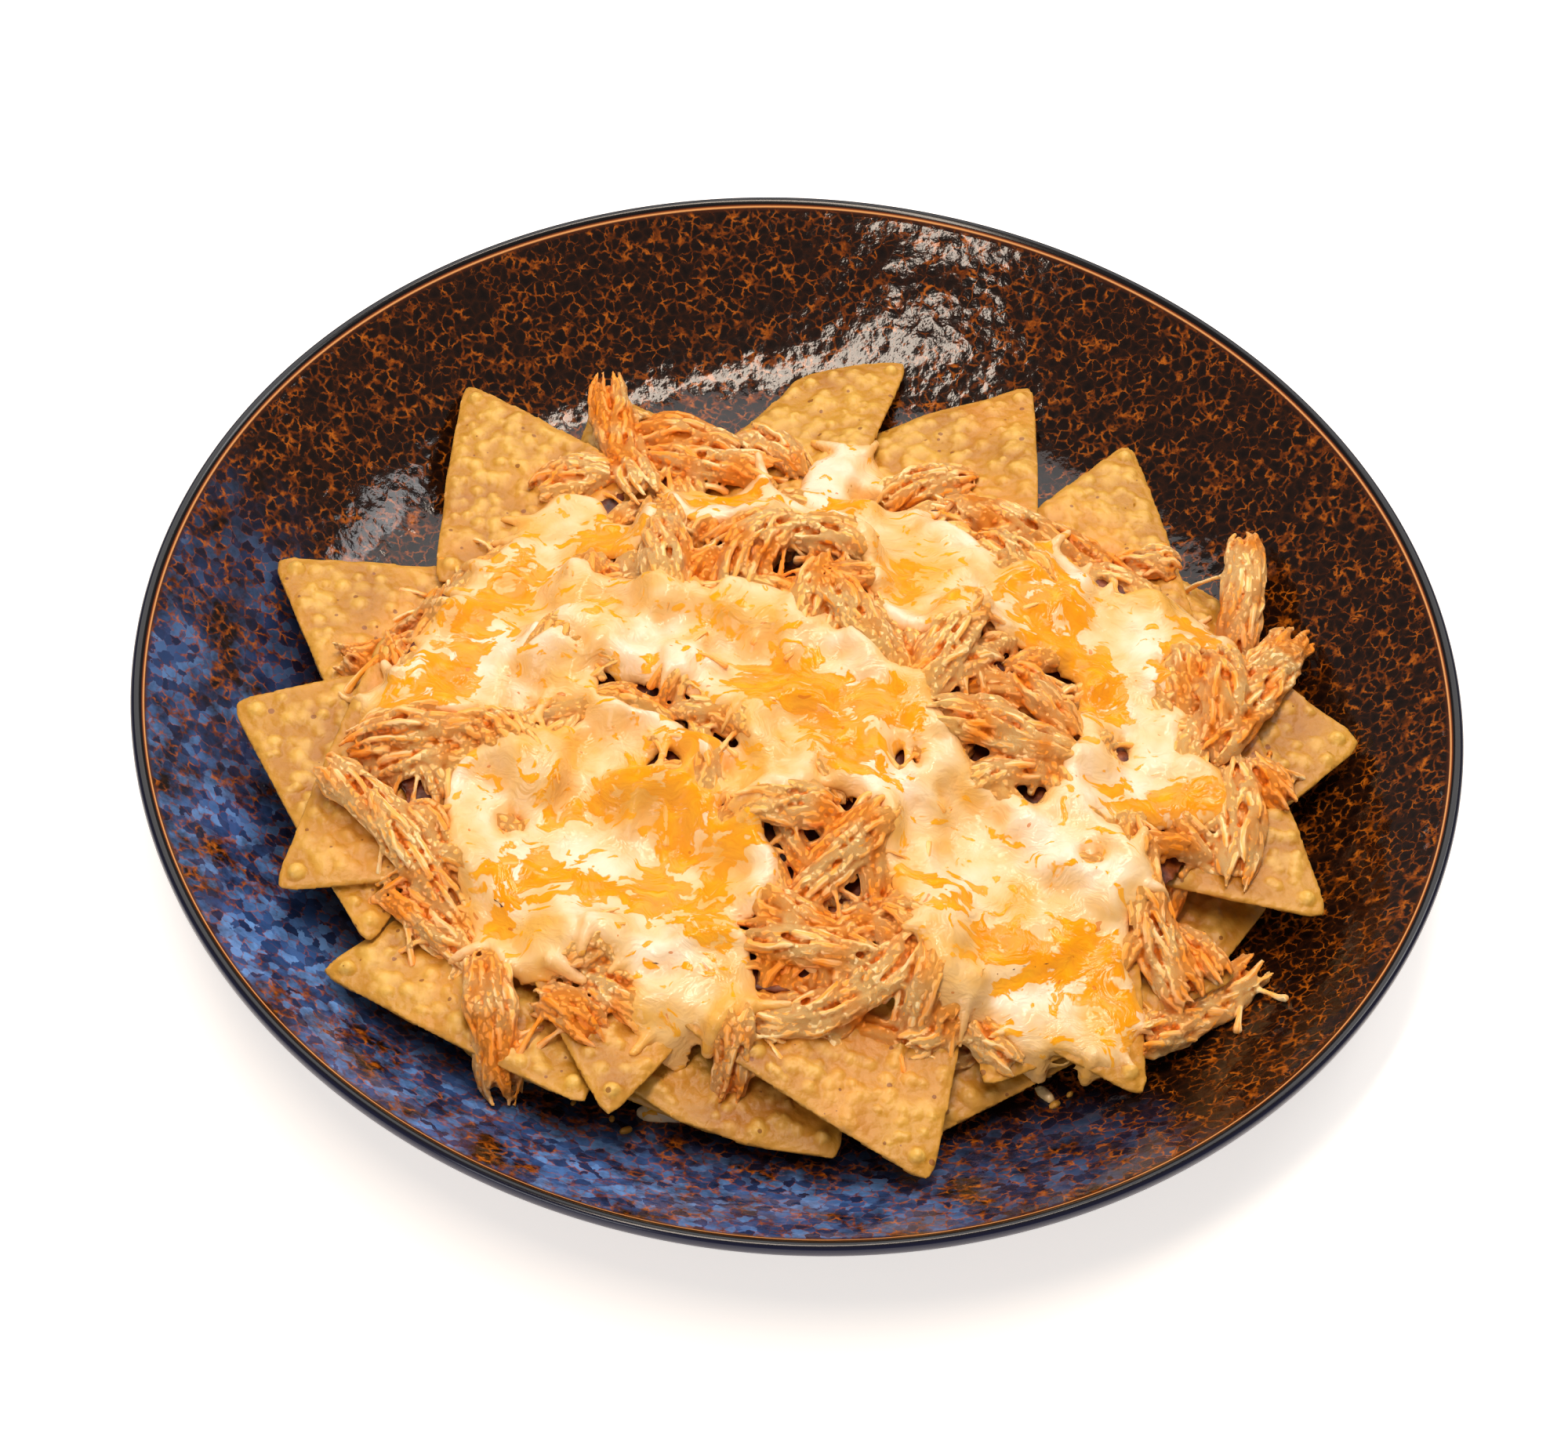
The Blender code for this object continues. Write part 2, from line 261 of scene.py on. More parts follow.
def laid_over(tree, amount, under, over):
    """One colour over another by an amount. The upper one is a socket or a hex code."""
    upper = linear(over) if isinstance(over, str) else over
    return add_node(tree, "ShaderNodeMix", {0: amount, 6: under, 7: upper},
                    data_type="RGBA").outputs[2]


def reckon(tree, operation, *terms):
    """A sum on numbers and sockets."""
    return add_node(tree, "ShaderNodeMath", dict(enumerate(terms)), operation=operation).outputs[0]


def vectors(tree, operation, *terms):
    """The same on vectors: its node, as some of them give a number."""
    return add_node(tree, "ShaderNodeVectorMath", dict(enumerate(terms)), operation=operation)


def clouds_at(tree, place, scale, detail, roughness=0.5):
    """Cloudy noise: its node, for its number or its colour."""
    return add_node(tree, "ShaderNodeTexNoise", {"Vector": place, "Scale": scale, "Detail": detail,
                                                 "Roughness": roughness})


def cells_at(tree, place, scale, smoothness=None, **settings):
    """A pattern of cells: its node, for the distance or each cell's own colour."""
    inputs = {"Vector": place, "Scale": scale}
    if smoothness is not None:
        settings["feature"] = "SMOOTH_F1"
    made = add_node(tree, "ShaderNodeTexVoronoi", inputs, **settings)
    if smoothness is not None:
        made.inputs["Smoothness"].default_value = smoothness
    return made


def ramp(tree, value, *stops):
    """Colours along a value."""
    return add_node(tree, "ShaderNodeValToRGB", {"Fac": value}, stops=stops).outputs[0]


def painted(tree, name):
    """A number that was stored at each vertex."""
    return add_node(tree, "ShaderNodeAttribute", attribute_name=name).outputs["Fac"]


def dots(tree, place, scale, rarest, widest, strength):
    """Rare small dots, each of its own size."""
    cells = cells_at(tree, place, scale)
    rare = add_node(tree, "ShaderNodeSeparateColor", {0: cells.outputs["Color"]}).outputs[0]
    size = share(tree, rare, rarest, 1.0, 0.0, widest)
    dot = reckon(tree, "LESS_THAN", cells.outputs["Distance"], size)
    return reckon(tree, "MULTIPLY", dot, strength)


def give_surface(tree, shader, colour, height, strength, distance, invert=False):
    """Link the colour and a bump of the given strength and depth in metres."""
    bump = add_node(tree, "ShaderNodeBump", {"Height": height, "Strength": strength,
                                             "Distance": distance}, invert=invert)
    tree.links.new(colour, shader.inputs["Base Color"])
    tree.links.new(bump.outputs[0], shader.inputs["Normal"])


def reactive_glaze():
    """Reactive stoneware glaze, fired glossy: dark cells with rust veins, and blue on one side, partly
    the glaze's own colour and partly a painted reflection.
    """
    made, tree, shader = new_material("reactive_stoneware_glaze", Roughness=0.1, IOR=1.5,
                                      Specular_IOR_Level=0.34)
    place = add_node(tree, "ShaderNodeTexCoord").outputs["Object"]
    warp = clouds_at(tree, place, 380.0, 3.0, 0.6).outputs["Color"]
    bent = vectors(tree, "MULTIPLY_ADD", warp, (0.0030, 0.0030, 0.0030), place).outputs[0]
    cells = cells_at(tree, bent, GLAZE_CELLS, feature="DISTANCE_TO_EDGE").outputs["Distance"]
    tint = cells_at(tree, bent, GLAZE_CELLS).outputs["Color"]
    patches = clouds_at(tree, place, 60.0, 5.0, 0.7).outputs["Fac"]
    breaks = clouds_at(tree, place, 260.0, 2.0).outputs["Fac"]
    mottle = reckon(tree, "ADD", patches, breaks)
    vein = share(tree, cells, 0.0, share(tree, mottle, 0.85, 1.25, 0.03, 0.2), 1.0, 0.0)
    flakes = reckon(tree, "MULTIPLY", vein, share(tree, breaks, 0.38, 0.52))
    rust = ramp(tree, clouds_at(tree, place, 420.0, 2.0).outputs["Fac"],
                (0.32, "381A04"), (0.5, "763606"), (0.68, "B46014"))
    dark = ramp(tree, cells, (0.0, "2A1206"), (0.14, "1C0D07"), (0.45, "0E0605"))
    blues = add_node(tree, "ShaderNodeSeparateColor", {0: tint}).outputs[0]
    # Blue for one side of the inner wall: partly the glaze's own colour, partly a painted reflection.
    blue_glaze_and_sheen = ramp(tree, blues, (0.0, "1C2E56"), (0.4, "385A96"), (1.0, "6A98D8"))
    height = add_node(tree, "ShaderNodeSeparateXYZ", {0: place}).outputs["Z"]
    flat = vectors(tree, "MULTIPLY", place, (1.0, 1.0, 0.0)).outputs[0]
    radius = vectors(tree, "LENGTH", flat).outputs["Value"]
    facing = vectors(tree, "NORMALIZE", flat).outputs[0]
    side = vectors(tree, "DOT_PRODUCT", facing, BLUE_GLAZE_AND_SHEEN_SIDE).outputs["Value"]
    blue = reckon(tree, "MULTIPLY", share(tree, side, 0.22, 0.95), share(tree, radius, 0.100, 0.119))
    blue = reckon(tree, "MULTIPLY", blue, share(tree, patches, 0.64, 0.42))
    blue = reckon(tree, "MULTIPLY", blue, painted(tree, "inside"))
    ground = laid_over(tree, blue, dark, blue_glaze_and_sheen)
    thinned = reckon(tree, "MULTIPLY_ADD", blue, -0.42, 1.0)
    veined = laid_over(tree, reckon(tree, "MULTIPLY", flakes, thinned), ground, rust)
    reach = reckon(tree, "SUBTRACT", radius, RIM_BAND[0])
    reach = reckon(tree, "DIVIDE", reach, RIM_BAND[1])
    # Rim colours from the inside out: brown, the copper line where the glaze breaks, near-black, and at
    # the outer edge a navy that is a painted reflection of the sky.
    rim = ramp(tree, reach, (0.0, "2A140A"), (0.32, "4A2210"), (0.37, "F0AC6C"), (0.42, "7A3A18"),
               (0.47, "0C0708"), (0.75, "0C0A10"), (1.0, "161A38"))
    on_rim = reckon(tree, "MULTIPLY", share(tree, radius, 0.1362, 0.1370),
                    share(tree, height, 0.0265, 0.0275))
    colour = laid_over(tree, on_rim, veined, rim)
    cushions = cells_at(tree, bent, 330.0, smoothness=0.5).outputs["Distance"]
    relief = reckon(tree, "MULTIPLY", cushions, reckon(tree, "SUBTRACT", 1.0, on_rim))
    tree.links.new(share(tree, on_rim, 0.0, 1.0, 0.1, 0.16), shader.inputs["Roughness"])
    give_surface(tree, shader, colour, relief, 0.15, 0.0009, invert=True)
    return made


def fried_tortilla():
    """Fried corn tortilla: pale blistered tops over hollows darkened partly by painted shade, toasted
    patches and edges, dark bran specks.
    """
    made, tree, shader = new_material("fried_corn_tortilla", Roughness=0.44, Subsurface_Weight=0.06,
                                      Subsurface_Scale=0.002)
    shader.inputs["Subsurface Radius"].default_value = (1.0, 0.55, 0.2)
    place = add_node(tree, "ShaderNodeTexCoord").outputs["Object"]
    clouds = clouds_at(tree, place, 55.0, 4.0).outputs["Fac"]
    corn = ramp(tree, clouds, (0.3, "A6680F"), (0.5, "BA801A"), (0.7, "C99228"))
    # Blister tops lighter and the hollows between them darker: partly the chip's own colour, partly
    # painted shade.
    tops = share(tree, painted(tree, "puff"), 0.0, 0.9, 0.0, 0.8)
    pale = laid_over(tree, tops, corn, "E8BA5A")
    toast = clouds_at(tree, place, 34.0, 3.0).outputs["Fac"]
    browned = laid_over(tree, share(tree, toast, 0.58, 0.78, 0.0, 0.6), pale, "D0802E")
    soaked = reckon(tree, "MULTIPLY", share(tree, painted(tree, "stain"), -16.0, 2.0, 0.0, 0.7),
                    share(tree, clouds, 0.4, 0.62))
    browned = laid_over(tree, soaked, browned, "DE8E34")
    near_edge = share(tree, painted(tree, "edge"), 0.0, 2.2, 0.55, 0.0)
    edged = laid_over(tree, near_edge, browned, "D8A046")
    colour = laid_over(tree, dots(tree, place, 330.0, 0.5, 0.24, 0.75), edged, "80420F")
    fine = clouds_at(tree, place, 900.0, 3.0).outputs["Fac"]
    pimples = cells_at(tree, place, 480.0, smoothness=0.4).outputs["Distance"]
    rough = reckon(tree, "MULTIPLY_ADD", fine, 0.5, pimples)
    give_surface(tree, shader, colour, rough, 0.6, 0.0006, invert=True)
    return made


def shredded_meat():
    """Pulled chicken in a light sauce: pale fibre ridges, with orange sauce and painted shade in the
    creases, darkest in the deepest ones.
    """
    made, tree, shader = new_material("pulled_chicken", Roughness=0.42, Subsurface_Weight=0.03,
                                      Subsurface_Scale=0.0025)
    shader.inputs["Subsurface Radius"].default_value = (1.0, 0.42, 0.18)
    shader.inputs["Specular IOR Level"].default_value = 0.25
    place = add_node(tree, "ShaderNodeTexCoord").outputs["Object"]
    grain = add_node(tree, "ShaderNodeAttribute", attribute_name="grain").outputs["Vector"]
    crease = painted(tree, "crease")
    stretch = vectors(tree, "MULTIPLY", grain, (0.16, 1.5, 1.5)).outputs[0]
    streaks = clouds_at(tree, stretch, 1.0, 3.0).outputs["Fac"]
    clouds = clouds_at(tree, place, 95.0, 3.0).outputs["Fac"]
    meat = ramp(tree, streaks, (0.3, "F89E2C"), (0.46, "FFBE66"), (0.62, "FFE0A6"))
    sauced = laid_over(tree, share(tree, clouds, 0.42, 0.62, 0.0, 0.85), meat, "FB8C0C")
    toned = laid_over(tree, share(tree, painted(tree, "shade"), 0.7, 1.0, 0.0, 0.3), sauced, "FA9A30")
    # Orange in the creases is partly sauce and partly painted shade; the dark brown in the deepest
    # creases is painted shade.
    crease_sauce_and_shade = laid_over(tree, share(tree, crease, 0.02, 0.16, 0.0, 0.95), toned, "DE6E02")
    deep = laid_over(tree, share(tree, crease, 0.16, 0.42, 0.0, 0.92), crease_sauce_and_shade, "7E2E00")
    film = share(tree, painted(tree, "coat"), -2.5, 0.8, 0.0, 0.5)
    colour = laid_over(tree, film, deep, "FABA5E")
    tree.links.new(share(tree, film, 0.0, 0.65, 0.42, 0.28), shader.inputs["Roughness"])
    give_surface(tree, shader, colour, streaks, 0.7, 0.0008)
    return made


def core_painted_as_shade():
    """Meat deep in the heap, painted dark orange brown as the shade in the holes between the shreds."""
    made, tree, shader = new_material("meat_painted_dark_as_shade", Roughness=0.5)
    place = add_node(tree, "ShaderNodeTexCoord").outputs["Object"]
    clouds = clouds_at(tree, place, 300.0, 4.0).outputs["Fac"]
    colour = ramp(tree, clouds, (0.3, "2E1002"), (0.55, "6E2E08"), (0.8, "A85A1C"))
    give_surface(tree, shader, colour, clouds, 0.7, 0.001)
    return made


def melted_cheese():
    """Melted cream-white and orange-yellow cheese: glossy with fat, marbled, flecked with spice, with
    painted shade in orange in its hollows and gold on its steep slopes.
    """
    made, tree, shader = new_material("melted_jack_and_cheddar_cheese", Roughness=0.18,
                                      Subsurface_Weight=0.12, Subsurface_Scale=0.001, IOR=1.45,
                                      Specular_IOR_Level=0.32)
    shader.inputs["Subsurface Radius"].default_value = (1.0, 0.8, 0.45)
    place = add_node(tree, "ShaderNodeTexCoord").outputs["Object"]
    warp = clouds_at(tree, place, 90.0, 2.0).outputs["Color"]
    bent = vectors(tree, "MULTIPLY_ADD", warp, (0.018, 0.018, 0.018), place).outputs[0]
    shreds = add_node(tree, "ShaderNodeMapping", {"Vector": bent, "Rotation": (0, 0, 0.5),
                                                  "Scale": (1.0, 1.8, 1.3)}).outputs[0]
    marble = clouds_at(tree, shreds, 170.0, 3.0, 0.5).outputs["Fac"]
    pull = reckon(tree, "MULTIPLY_ADD", marble, 26.0, -12.4)
    amount = reckon(tree, "ADD", painted(tree, "cheddar"), pull)
    orange = share(tree, amount, -0.5, 0.5, interpolation_type="SMOOTHSTEP")
    clouds = clouds_at(tree, place, 60.0, 3.0).outputs["Fac"]
    jack = ramp(tree, clouds, (0.34, "E4AE56"), (0.5, "EBCA98"), (0.64, "F1DEC4"))
    gold = ramp(tree, marble, (0.35, "E48A00"), (0.6, "EE9C00"), (0.75, "F4AE10"))
    mixed = laid_over(tree, orange, jack, gold)
    thin = laid_over(tree, share(tree, painted(tree, "cover"), -1.0, 2.5, 0.5, 0.0), mixed, "F3B26A")
    # Painted shade: hollows tinted orange and steep slopes golden, as the shaded cheese looks.
    hollow_painted_shade = share(tree, painted(tree, "crease"), 0.03, 0.3, 0.0, 0.7)
    with_painted_shade = laid_over(tree, hollow_painted_shade, thin, "EE9C3C")
    steep_painted_shade = share(tree, painted(tree, "steep"), 0.03, 0.4, 0.0, 0.45)
    with_painted_shade = laid_over(tree, steep_painted_shade, with_painted_shade, "F6B648")
    colour = laid_over(tree, dots(tree, bent, 260.0, 0.55, 0.17, 0.7), with_painted_shade, "D0701C")
    curds = clouds_at(tree, shreds, 360.0, 2.0).outputs["Fac"]
    give_surface(tree, shader, colour, reckon(tree, "ADD", marble, curds), 0.35, 0.0009)
    return made


# ---- bowl ----

def bowl_profile():
    """Radius and height pairs in mm from the base's middle, round the rim, to the floor's middle."""
    outline = [(0.0, BASE_Z)]
    outline += straight(outline[-1], (FOOT_INNER - 2.0, BASE_Z), 6)
    outline += [(FOOT_INNER, 0.0), (FOOT_OUTER - 0.8, 0.0), (FOOT_OUTER, FOOT_HEIGHT * 0.4),
                (FOOT_OUTER + 0.5, FOOT_HEIGHT)]
    under = (RIM_RADIUS - 1.2, RIM_UNDER_Z)
    outline += straight(outline[-1], BELLY_START, 10)
    outline += bezier(BELLY_START, BELLY_CURVE[1], BELLY_CURVE[0], under, 24)
    middle_z = (RIM_TOP_Z + RIM_UNDER_Z) / 2
    outline += bezier(under, (RIM_RADIUS, RIM_UNDER_Z + 0.6), (RIM_RADIUS, middle_z),
                      (RIM_RADIUS - 0.2, middle_z + 1.0), 6)
    outline += bezier(outline[-1], (RIM_RADIUS - 0.6, RIM_TOP_Z), (LIP[0] + 1.2, RIM_TOP_Z), LIP, 10)
    outline += bezier(LIP, WALL_CURVE[0], WALL_CURVE[1], (FLOOR_RADIUS, FLOOR_Z), 34)
    outline += straight(outline[-1], (FLOOR_RADIUS * 0.7, FLOOR_Z), 16)
    outline += straight(outline[-1], (0.0, FLOOR_Z), 5)
    return [(r * MM, z * MM) for r, z in outline]


def turned(name, outline, steps):
    """A closed turned piece: a point drawn along the outline, then spun round the axis."""
    bpy.ops.object.select_all(action="DESELECT")
    bpy.ops.mesh.primitive_plane_add(size=MM, location=(outline[0][0], 0, outline[0][1]))
    piece = bpy.context.active_object
    piece.name = piece.data.name = name
    bpy.ops.object.transform_apply(location=True, rotation=True, scale=True)
    bpy.ops.object.mode_set(mode="EDIT")
    bpy.ops.mesh.select_all(action="SELECT")
    bpy.ops.mesh.merge(type="CENTER")
    for (r0, z0), (r1, z1) in zip(outline, outline[1:]):
        bpy.ops.mesh.extrude_region_move(TRANSFORM_OT_translate={"value": (r1 - r0, 0, z1 - z0)})
    bpy.ops.mesh.select_all(action="SELECT")
    bpy.ops.mesh.spin(steps=steps, angle=math.tau, center=(0, 0, 0), axis=(0, 0, 1))
    bpy.ops.object.mode_set(mode="OBJECT")
    merge_doubles(piece, 0.01 * MM)
    return piece


def make_bowl(glaze):
    """The bowl, with the shallow dimples of its glaze pressed into the inner wall."""
    piece = turned("bowl", bowl_profile(), BOWL_STEPS)
    points = points_of(piece)
    radius = np.hypot(points[:, 0], points[:, 1])
    inside = (points[:, 2] > (FLOOR_Z - 0.2) * MM) & (normals_of(piece)[:, 2] > 0.1)
    inner, outer = DIMPLES_GROW
    fade = np.clip((radius - inner * MM) / ((outer - inner) * MM), DIMPLES_LEAST, 1)
    fade *= np.clip((LIP[0] * MM - radius) / (DIMPLES_STOP * MM), 0, 1)
    group = piece.vertex_groups.new(name="dimpled")
    for index in np.flatnonzero(inside & (fade > 0)):
        group.add([int(index)], float(fade[index]), "REPLACE")
    dimples = bpy.data.textures.new("dimples", "CLOUDS")
    dimples.noise_scale = DIMPLE_SIZE
    dimples.noise_depth = 1
    apply_modifier(piece, "dimples", "DISPLACE", texture=dimples, texture_coords="LOCAL",
                   strength=DIMPLE_DEPTH, mid_level=0.5, vertex_group="dimpled")
    paint(piece, "inside", inside)
    return finish_piece(piece, glaze, "glaze", "plate")


# ---- chips ----

# How far out the topping reaches, in mm from the middle, at every 30 degrees from +X towards +Y.
HEAP_OUTLINE = (97, 84, 68, 56, 72, 76, 88, 98, 93, 90, 96, 98)


def heap_reach(x, y):
    """The heap's outline in the direction of a place, in mm from the middle."""
    turn = math.degrees(math.atan2(y, x)) % 360 / 30
    first, part = int(turn) % 12, turn % 1
    return HEAP_OUTLINE[first] * (1 - part) + HEAP_OUTLINE[(first + 1) % 12] * part


def merged_copy(node, name):
    """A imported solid's mesh as a new piece, with its loose triangles joined."""
    piece = bpy.data.objects.new(name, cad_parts[node].data.copy())
    bpy.context.scene.collection.objects.link(piece)
    merge_doubles(piece, 0.01 * MM, outward=False)
    return piece


def dome(away, radius, height):
    """Height of a round blister at a distance from its middle."""
    return height * np.clip(1 - (away / radius) ** 2, 0, None) ** 0.95


def blister_heights(flat, edge, corners, dice):
    """Blisters over a chip: many small ones, and one bubble just inside each corner."""
    inner = np.flatnonzero(edge > PINCH * 0.8)
    rise = np.zeros(len(flat))
    for corner in corners:
        away = np.linalg.norm(flat - corner, axis=1)
        rise = np.maximum(rise, dome(away, CORNER_BUMP[0] * dice.uniform(0.85, 1.1),
                                     CORNER_BUMP[1] * dice.uniform(0.7, 1.1)))
    for _ in range(BLISTERS):
        middle = flat[dice.choice(inner)]
        if any(np.linalg.norm(middle - corner) < CORNER_BUMP[0] + 2.4 for corner in corners):
            continue
        near = np.linalg.norm(flat - middle, axis=1)
        rise = np.maximum(rise, dome(near, dice.uniform(*BLISTER_RADIUS),
                                     dice.uniform(*BLISTER_HEIGHT)))
    return rise * np.clip(edge / PINCH, 0, 1)


def make_chip(node, corn, seed):
    """A tortilla chip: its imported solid, blistered on both sides and pinched along its edge."""
    dice = random.Random(seed)
    piece = merged_copy(node, node.replace("chip", "tortilla_chip"))
    reskin(piece, CHIP_VOXEL, 2)
    thin_out(piece, CHIP_FACES * 2)
    points = points_of(piece) / MM
    middle = points.mean(axis=0)
    axes = np.linalg.svd((points - middle)[::7], full_matrices=False)[2]
    up = axes[2] * (1 if axes[2][2] > 0 else -1)
    normals = normals_of(piece)
    flat = (points - middle) @ axes[:2].T
    lean = normals @ up
    border = kdtree.KDTree(len(points))
    for index in np.flatnonzero(abs(lean) < 0.45):
        border.insert((*flat[index], 0.0), int(index))
    border.balance()
    edge = np.array([border.find((x, y, 0.0))[2] for x, y in flat])
    corners = []
    away = np.linalg.norm(flat, axis=1)
    for _ in range(3):
        tip = flat[np.argmax(away)]
        corners.append(tip * (1 - CORNER_INSET / np.linalg.norm(tip)))
        away[np.linalg.norm(flat - tip, axis=1) < CORNER_REACH] = 0
    rise = blister_heights(flat, edge, corners, dice)
    under = blister_heights(flat, edge, [], dice)
    shift = Vector((dice.uniform(0, 90), dice.uniform(0, 90), 0))
    wave = np.array([noise.noise(Vector((x, y, 0)) / WAVE_SIZE + shift) for x, y in flat]) * WAVE_HEIGHT
    lift = wave + np.where(lean > 0.2, rise, 0) - np.where(lean < -0.2, under * 0.7, 0)
    squeeze = np.clip(1 - edge / PINCH, 0, 1) * 0.25
    lift -= np.sign(lean) * squeeze * (abs(lean) > 0.45)
    move_points(piece, (points + np.outer(lift, up)) * MM)
    paint(piece, "puff", np.where(lean > 0, rise, under))
    paint(piece, "edge", edge)
    paint(piece, "stain", [heap_reach(x, y) - math.hypot(x, y) for x, y, _ in points])
    thin_out(piece, CHIP_FACES)
    return finish_piece(piece, corn, "tortilla", node)


# ---- heights ----

class Heights:
    """Highest point of what lies on the bowl, on an even grid, read by place in mm."""
    STEP = 0.9
    REACH = 126.0
    ABOVE = 150.0

    def __init__(self):
        self.count = int(self.REACH / self.STEP)
        side = np.arange(-self.count, self.count + 1) * self.STEP
        self.x, self.y = np.meshgrid(side, side, indexing="ij")
        self.z = np.zeros(self.x.shape)

    def add(self, piece):
        tree = tree_of(piece)
        down, aside = Vector((0, 0, -1)), Vector((0.013, 0.017, 0)) * MM
        spots = points_of(piece) / MM
        first = np.maximum(np.floor(spots.min(axis=0) / self.STEP).astype(int) + self.count, 0)
        last = np.ceil(spots.max(axis=0) / self.STEP).astype(int) + self.count
        last = np.minimum(last, 2 * self.count)
        for i in range(first[0], last[0] + 1):
            for j in range(first[1], last[1] + 1):
                start = Vector((self.x[i, j], self.y[i, j], self.ABOVE)) * MM + aside
                hit = tree.ray_cast(start, down)[0]
                if hit and hit.z / MM > self.z[i, j]:
                    self.z[i, j] = hit.z / MM

    def at(self, x, y, grid=None):
        """Height, or another grid's value, at one place or many, between the grid's points."""
        grid = self.z if grid is None else grid
        u = np.clip(np.asarray(x) / self.STEP + self.count, 0, 2 * self.count - 1.001)
        v = np.clip(np.asarray(y) / self.STEP + self.count, 0, 2 * self.count - 1.001)
        i, j = u.astype(int), v.astype(int)
        a, b = u - i, v - j
        return ((grid[i, j] * (1 - a) + grid[i + 1, j] * a) * (1 - b)
                + (grid[i, j + 1] * (1 - a) + grid[i + 1, j + 1] * a) * b)


def shifted(grid, di, dj):
    """The grid moved by whole cells, with its border repeated."""
    rows = np.clip(np.arange(grid.shape[0]) + di, 0, grid.shape[0] - 1)
    columns = np.clip(np.arange(grid.shape[1]) + dj, 0, grid.shape[1] - 1)
    return grid[np.ix_(rows, columns)]


def extreme(grid, radius, pick):
    """Largest or smallest value within a round neighbourhood, as pick says."""
    span = int(radius)
    found = grid
    for di in range(-span, span + 1):
        for dj in range(-span, span + 1):
            if di * di + dj * dj <= radius * radius:
                found = pick(found, shifted(grid, di, dj))
    return found


def blurred(grid, sigma):
    """The grid smoothed with a round bell of that many cells."""
    reach = int(3 * sigma)
    weights = np.exp(-0.5 * (np.arange(-reach, reach + 1) / sigma) ** 2)
    weights /= weights.sum()
    across = sum(w * shifted(grid, k, 0) for k, w in zip(range(-reach, reach + 1), weights))
    return sum(w * shifted(across, 0, k) for k, w in zip(range(-reach, reach + 1), weights))


def noise_grid(x, y, size, seed):
    """Smooth noise over many places, with features of the given size."""
    flat = [noise.noise(Vector((a / size, b / size, seed * 7.3)))
            for a, b in zip(np.ravel(x), np.ravel(y))]
    return np.array(flat).reshape(np.shape(x))


def inside_strokes(strokes, x, y):
    """How far inside the nearest rounded stroke each place is, in mm. Outside is negative."""
    found = np.full(np.shape(x), -99.0)
    for x0, y0, x1, y1, radius in strokes:
        dx, dy = x1 - x0, y1 - y0
        along = np.clip(((x - x0) * dx + (y - y0) * dy) / (dx * dx + dy * dy + 1e-9), 0, 1)
        away = np.hypot(x - x0 - along * dx, y - y0 - along * dy)
        found = np.maximum(found, radius - away)
    return found
